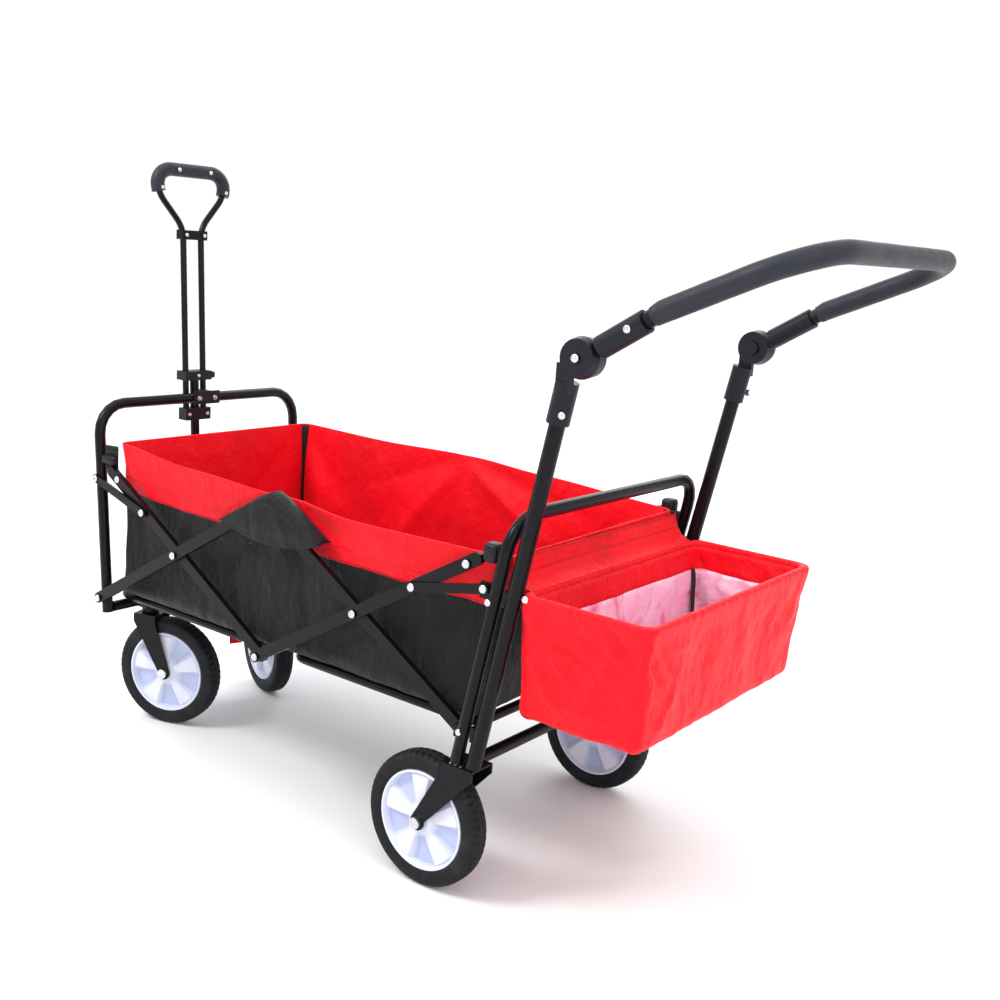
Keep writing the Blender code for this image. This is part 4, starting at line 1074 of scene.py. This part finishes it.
def pull_bolts():
    """Rivets on the rear face of the pull handle's grip, clamp, bracket and collar, and of the frame's clip."""
    back = (1, 0, 0)
    low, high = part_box("pull_grip")
    grip = [((high.x - 0.0010, y, high.z - 0.0120), back, *GRIP_RIVET) for y in (-0.036, 0.036)]
    grip += [((high.x - 0.0012, y, low.z + 0.0095), back, *GRIP_RIVET) for y in (-0.0735, 0.0735)]
    bracket_low, bracket_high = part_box("pull_slide_bracket")
    height = (bracket_low.z + bracket_high.z) / 2
    grip += [((bracket_high.x - 0.0002, y, height), back, *BRACKET_RIVET) for y in (-0.021, 0.021)]
    lean = (high.x - bracket_high.x) / (high.z - height)
    clamp_face = bracket_high.x + lean * (CLAMP_Z - height) - 0.0027
    grip += [((clamp_face, y, CLAMP_Z), back, *CLAMP_RIVET) for y in (-0.0205, 0.0205)]
    heads("rivets_pull_slider", "pull_slider", grip)
    collar_low, collar_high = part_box("pull_collar")
    collar_z = (collar_low.z + collar_high.z) / 2
    heads("bolt_pull_collar", "pull_handle", [((collar_high.x - 0.0002, 0, collar_z), back, *CLAMP_RIVET)])
    clip_low, clip_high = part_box("handle_clip")
    clip_z = clip_low.z + 0.011
    clip = [((clip_high.x - 0.0030, y, clip_z), back, *CLIP_BOLT) for y in (-0.018, 0.018)]
    heads("bolts_front_frame", "front_frame", clip)


# ---------------------------------------------------------------- foam sleeve, corner caps, tabs, strap
HANDLE_ANGLE = math.radians(32.0)
HANDLE_KNEE = 0.125
HANDLE_UPPER_ANGLE = math.radians(24.0)
HANDLE_UPPER_REACH = 0.2025
HANDLE_BEND = 0.086
FOAM_START = 0.112
FOAM_RADIUS = 0.0140


def rounded_path(corners, radius, steps):
    """The corners' path, with each inner corner turned into an arc of this radius."""
    path = [corners[0]]
    for before, corner, after in zip(corners, corners[1:], corners[2:]):
        to_before, to_after = (before - corner).normalized(), (after - corner).normalized()
        half = to_before.angle(to_after) / 2
        centre = corner + (to_before + to_after).normalized() * (radius / math.sin(half))
        reach = radius / math.tan(half)
        start = (corner + to_before * reach - centre).normalized()
        end = (corner + to_after * reach - centre).normalized()
        path += [centre + start.slerp(end, step / steps) * radius for step in range(steps + 1)]
    return path + [corners[-1]]


def foam_sleeve():
    """The foam on the push handle: a smooth sleeve with soft ends and a short seam slit underneath."""
    hub = hub_place()
    tube_y = 0.2448
    lower, upper = (Vector((math.cos(a), 0, math.sin(a))) for a in (HANDLE_ANGLE, HANDLE_UPPER_ANGLE))
    knee = hub + lower * HANDLE_KNEE
    across = Vector((0, tube_y, 0))
    arm = [hub + lower * FOAM_START, knee, knee + upper * HANDLE_UPPER_REACH]
    corners = [place - across for place in arm] + [place + across for place in reversed(arm)]
    bent = rounded_path(corners[1:-1], HANDLE_BEND, 16)
    route = [corners[0], *bent, corners[-1]]
    dense = []
    for a, b in zip(route, route[1:]):
        count = max(1, round((b - a).length / 0.010))
        dense += [a + (b - a) * (i / count) for i in range(count)]
    dense.append(route[-1])
    radii = []
    length = 0.0
    total = sum((b - a).length for a, b in zip(dense, dense[1:]))
    before = dense[0]
    for place in dense:
        length += (place - before).length
        before = place
        soft = min(length, total - length)
        wave = 0.00025 * fractal(place, 24.0, 61, 2)
        radii.append(FOAM_RADIUS - 0.0016 * math.exp(-soft / 0.0020) + wave)
    made = tube_mesh("foam_sleeve", dense, radii, 32, "foam")
    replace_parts(made, "handlebar_foam")
    end = knee + upper * HANDLE_UPPER_REACH
    low_side = Vector((math.sin(HANDLE_UPPER_ANGLE), 0, -math.cos(HANDLE_UPPER_ANGLE)))
    surface = end + low_side * (FOAM_RADIUS - 0.0008)
    slit = [surface + Vector((-0.004, y, 0)) for y in np.linspace(0.075, 0.100, 6)]
    sizes = [0.0004, 0.0012, 0.0016, 0.0016, 0.0012, 0.0004]
    tube_mesh("foam_seam_slit", slit, sizes, 8, "rubber")


def rounded_block(name, low, high, radius, finish, body):
    """A block between two corners, with its edges rounded."""
    tool = bmesh.new()
    bmesh.ops.create_cube(tool, size=1.0)
    size, middle = Vector(high) - Vector(low), (Vector(high) + Vector(low)) / 2
    bmesh.ops.scale(tool, vec=size, verts=tool.verts)
    bmesh.ops.translate(tool, vec=middle, verts=tool.verts)
    bmesh.ops.bevel(
        tool, geom=list(tool.edges), offset=radius, segments=4, profile=0.5, affect="EDGES", clamp_overlap=True
    )
    points = [v.co.copy() for v in tool.verts]
    faces = [[v.index for v in face.verts] for face in tool.faces]
    tool.free()
    return piece(name, points, faces, finish, body)


def corner_caps():
    """Moulded corner caps with rounded edges, in place of the plain ones."""
    for side_name in SIDES:
        for end, body in (("front", "bars_1"), ("rear", "bars_4")):
            node = f"{end}_corner_cap_{side_name}"
            low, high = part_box(node)
            rear = end == "rear"
            x0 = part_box(f"scissor_bar_4_{side_name}")[1].x + 0.0004 if rear else low.x
            foot = low.z - (0.012 if rear else 0.0)
            top = high.z - (0.003 if rear else 0.006)
            name, corners = f"{end}_corner_knob_{side_name}", ((x0, low.y, foot), (high.x, high.y, top))
            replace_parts(rounded_block(name, *corners, 0.0060, "black_plastic", body), node)


def corner_tabs():
    """Black reinforcements outside the basket's upper corners."""
    made = []
    for side_name, side in SIDES.items():
        for end, xs, zs in (
            ("rear", (CARGO_HIGH.x - 0.016, CARGO_HIGH.x + 0.0075), (0.5200, 0.4560)),
            ("front", (CARGO_LOW.x + 0.004, CARGO_LOW.x - 0.0235), (0.5340, 0.4900)),
        ):
            rings = []
            for z in np.linspace(*zs, 9):
                shift = rear_shift(z) if end == "rear" else 0.0
                row = []
                for share in np.linspace(0, 1, 6):
                    x = xs[0] + (xs[1] - xs[0]) * share - shift
                    y = 0.2272 + 0.0062 * share**1.5 + 0.0006 * fractal((x, side, z), 60.0, 71, 2)
                    row.append((x, side * min(y, 0.2294 if end == "rear" and share < 0.4 else 0.2340), z))
                rings.append(row)
            tab = loft(f"{end}_corner_tab_{side_name}", rings, "webbing", closed=False, slot="black_board")
            thicken(tab, 0.0010)
            made.append(tab)
    return made


def rear_apron():
    """The red cloth that joins the rear rim's stuffed roll to the front hem of the rear basket."""
    profile = smooth_table((0.0, 0.2, 0.42, 0.62, 0.82, 1.0), (0.2868, 0.2885, 0.2910, 0.2965, 0.3080, 0.3190))
    heights = smooth_table((0.0, 0.2, 0.42, 0.62, 0.82, 1.0), (0.5180, 0.5060, 0.4945, 0.4850, 0.4790, 0.4770))
    rings = []
    for share in np.linspace(0, 1, 17):
        row = []
        for y in np.linspace(-0.2235, 0.2235, 121):
            gather = 0.0011 * math.sin(y * 470 + 2.1 * math.sin(y * 55)) * share**2
            wave = 0.0034 * fractal((share * 0.08, y, 0.3), 15.0, 81) * math.sin(math.pi * share) ** 0.7
            end = 0.004 * math.exp(-(((abs(y) - 0.2235) / 0.010) ** 2)) * (1 - share)
            move = 0.7 * (wave + gather)
            row.append((float(profile(share)) + move - end, y, float(heights(share)) + move))
        rings.append(row)
    made = loft("rear_apron", rings, "red_plain", closed=False, slot="red_nylon")
    thicken(made, 0.0008)
    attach(made, "rear_frame")


def floor_strap():
    """The red strap that hangs under the front of the floor."""
    path = [
        (-0.470, 0, 0.2450),
        (-0.500, 0, 0.2400),
        (-0.516, 0, 0.2200),
        (-0.520, 0.002, 0.1900),
        (-0.522, 0.002, 0.1580),
        (-0.519, 0, 0.1360),
    ]
    strip("floor_pull_strap", path, (0.35, 0.94, 0), 0.024, 0.0016, "red_plain", "front_floor", "red_nylon")


# ---------------------------------------------------------------- light, floor, camera
OVERHEAD_STRENGTH = 1.1
SKY_STRENGTH = 1.02
FLOOR_REACH = 14.0
CAMERA_PLACE = (1.19611, -1.5003, 0.9293)
CAMERA_TURN = (36.3837, -12.0138, 4.0657)  # yaw, pitch and roll in degrees
CAMERA_LENS = 43.515


def stage():
    """A white floor, an even white sky, a soft sun and three lamps."""
    reach = FLOOR_REACH
    data = bpy.data.meshes.new("studio_floor")
    corners = [(-reach, -reach, 0), (reach, -reach, 0), (reach, reach, 0), (-reach, reach, 0)]
    data.from_pydata(corners, [], [(0, 1, 2, 3)])
    data.materials.append(MATERIALS["floor"])
    floor = bpy.data.objects.new("studio_floor", data)
    bpy.context.scene.collection.objects.link(floor)

    world = bpy.data.worlds.new("studio")
    world.use_nodes = True
    sky = world.node_tree.nodes["Background"]
    sky.inputs["Color"].default_value = (1.0, 1.0, 1.0, 1)
    sky.inputs["Strength"].default_value = SKY_STRENGTH
    bpy.context.scene.world = world
    overhead = bpy.data.lights.new("overhead", "SUN")
    overhead.energy = OVERHEAD_STRENGTH
    overhead.angle = math.radians(70)
    bpy.context.scene.collection.objects.link(bpy.data.objects.new("overhead", overhead))
    for name, place, target, energy, width in (
        ("key", (-1.3, -2.2, 3.0), (-0.1, 0, 0.35), 72, 1.0),
        ("fill", (2.8, -1.4, 1.9), (0.0, 0, 0.4), 26, 2.0),
        ("back", (-1.2, 2.8, 2.4), (0.0, 0, 0.4), 34, 2.2),
    ):
        lamp = bpy.data.lights.new(name, "AREA")
        lamp.energy = energy
        lamp.size = width
        obj = bpy.data.objects.new(name, lamp)
        obj.location = place
        obj.rotation_euler = (Vector(target) - Vector(place)).to_track_quat("-Z", "Y").to_euler()
        bpy.context.scene.collection.objects.link(obj)


def camera():
    """The camera that matches the photograph."""
    yaw, pitch, roll = (math.radians(a) for a in CAMERA_TURN)
    ahead = Vector((-math.sin(yaw) * math.cos(pitch), math.cos(yaw) * math.cos(pitch), math.sin(pitch)))
    right = ahead.cross(Vector((0, 0, 1))).normalized()
    up = right.cross(ahead)
    turned_right = right * math.cos(roll) + up * math.sin(roll)
    turned_up = up * math.cos(roll) - right * math.sin(roll)
    lens = bpy.data.cameras.new("camera")
    lens.lens = CAMERA_LENS
    lens.sensor_width = 36.0
    lens.clip_start = 0.05
    obj = bpy.data.objects.new("camera", lens)
    bpy.context.scene.collection.objects.link(obj)
    turn = Matrix((turned_right, turned_up, -ahead)).transposed().to_4x4()
    obj.matrix_world = Matrix.Translation(CAMERA_PLACE) @ turn
    bpy.context.scene.camera = obj


def finish_cad_nodes():
    """Gives every CAD node its detailed material, its slot and smooth shading."""
    for obj in NODES.values():
        slot = obj.data.materials[0].name.split(".")[0] if obj.data.materials else "black_steel"
        if slot in MATERIALS:
            for place in obj.material_slots:
                place.material = MATERIALS[slot]
        soften = obj.modifiers.new("smooth shading", "NODES")
        soften.node_group = smooth_shading()


def smooth_shading():
    """Node group that shades a mesh smooth except across sharp edges."""
    known = bpy.data.node_groups.get("smooth_shading")
    if known:
        return known
    group = bpy.data.node_groups.new("smooth_shading", "GeometryNodeTree")
    group.interface.new_socket("Geometry", in_out="INPUT", socket_type="NodeSocketGeometry")
    group.interface.new_socket("Geometry", in_out="OUTPUT", socket_type="NodeSocketGeometry")
    start, end = group.nodes.new("NodeGroupInput"), group.nodes.new("NodeGroupOutput")
    faces = group.nodes.new("GeometryNodeSetShadeSmooth")
    faces.domain = "FACE"
    edges = group.nodes.new("GeometryNodeSetShadeSmooth")
    edges.domain = "EDGE"
    edges.inputs["Shade Smooth"].default_value = False
    angle = group.nodes.new("GeometryNodeInputMeshEdgeAngle")
    sharp = group.nodes.new("FunctionNodeCompare")
    sharp.data_type = "FLOAT"
    sharp.operation = "GREATER_THAN"
    sharp.inputs[1].default_value = math.radians(35)
    group.links.new(angle.outputs["Unsigned Angle"], sharp.inputs[0])
    weld = group.nodes.new("GeometryNodeMergeByDistance")
    weld.inputs["Distance"].default_value = 0.00001
    group.links.new(start.outputs[0], weld.inputs["Geometry"])
    group.links.new(weld.outputs["Geometry"], faces.inputs["Geometry"])
    group.links.new(faces.outputs["Geometry"], edges.inputs["Geometry"])
    group.links.new(sharp.outputs[0], edges.inputs["Selection"])
    group.links.new(edges.outputs["Geometry"], end.inputs[0])
    return group


camera()
stage()
finish_cad_nodes()
fabric = cargo_basket() + corner_tabs()
squash_with_fold(fabric)
for side_name, side in SIDES.items():
    flap(side_name, side)
rear_basket()
bag_strap()
wheels()
scissor_heads()
frame_bolts()
handle_bolts()
pull_bolts()
foam_sleeve()
corner_caps()
floor_strap()
rear_apron()
bpy.context.scene.view_settings.view_transform = "Standard"
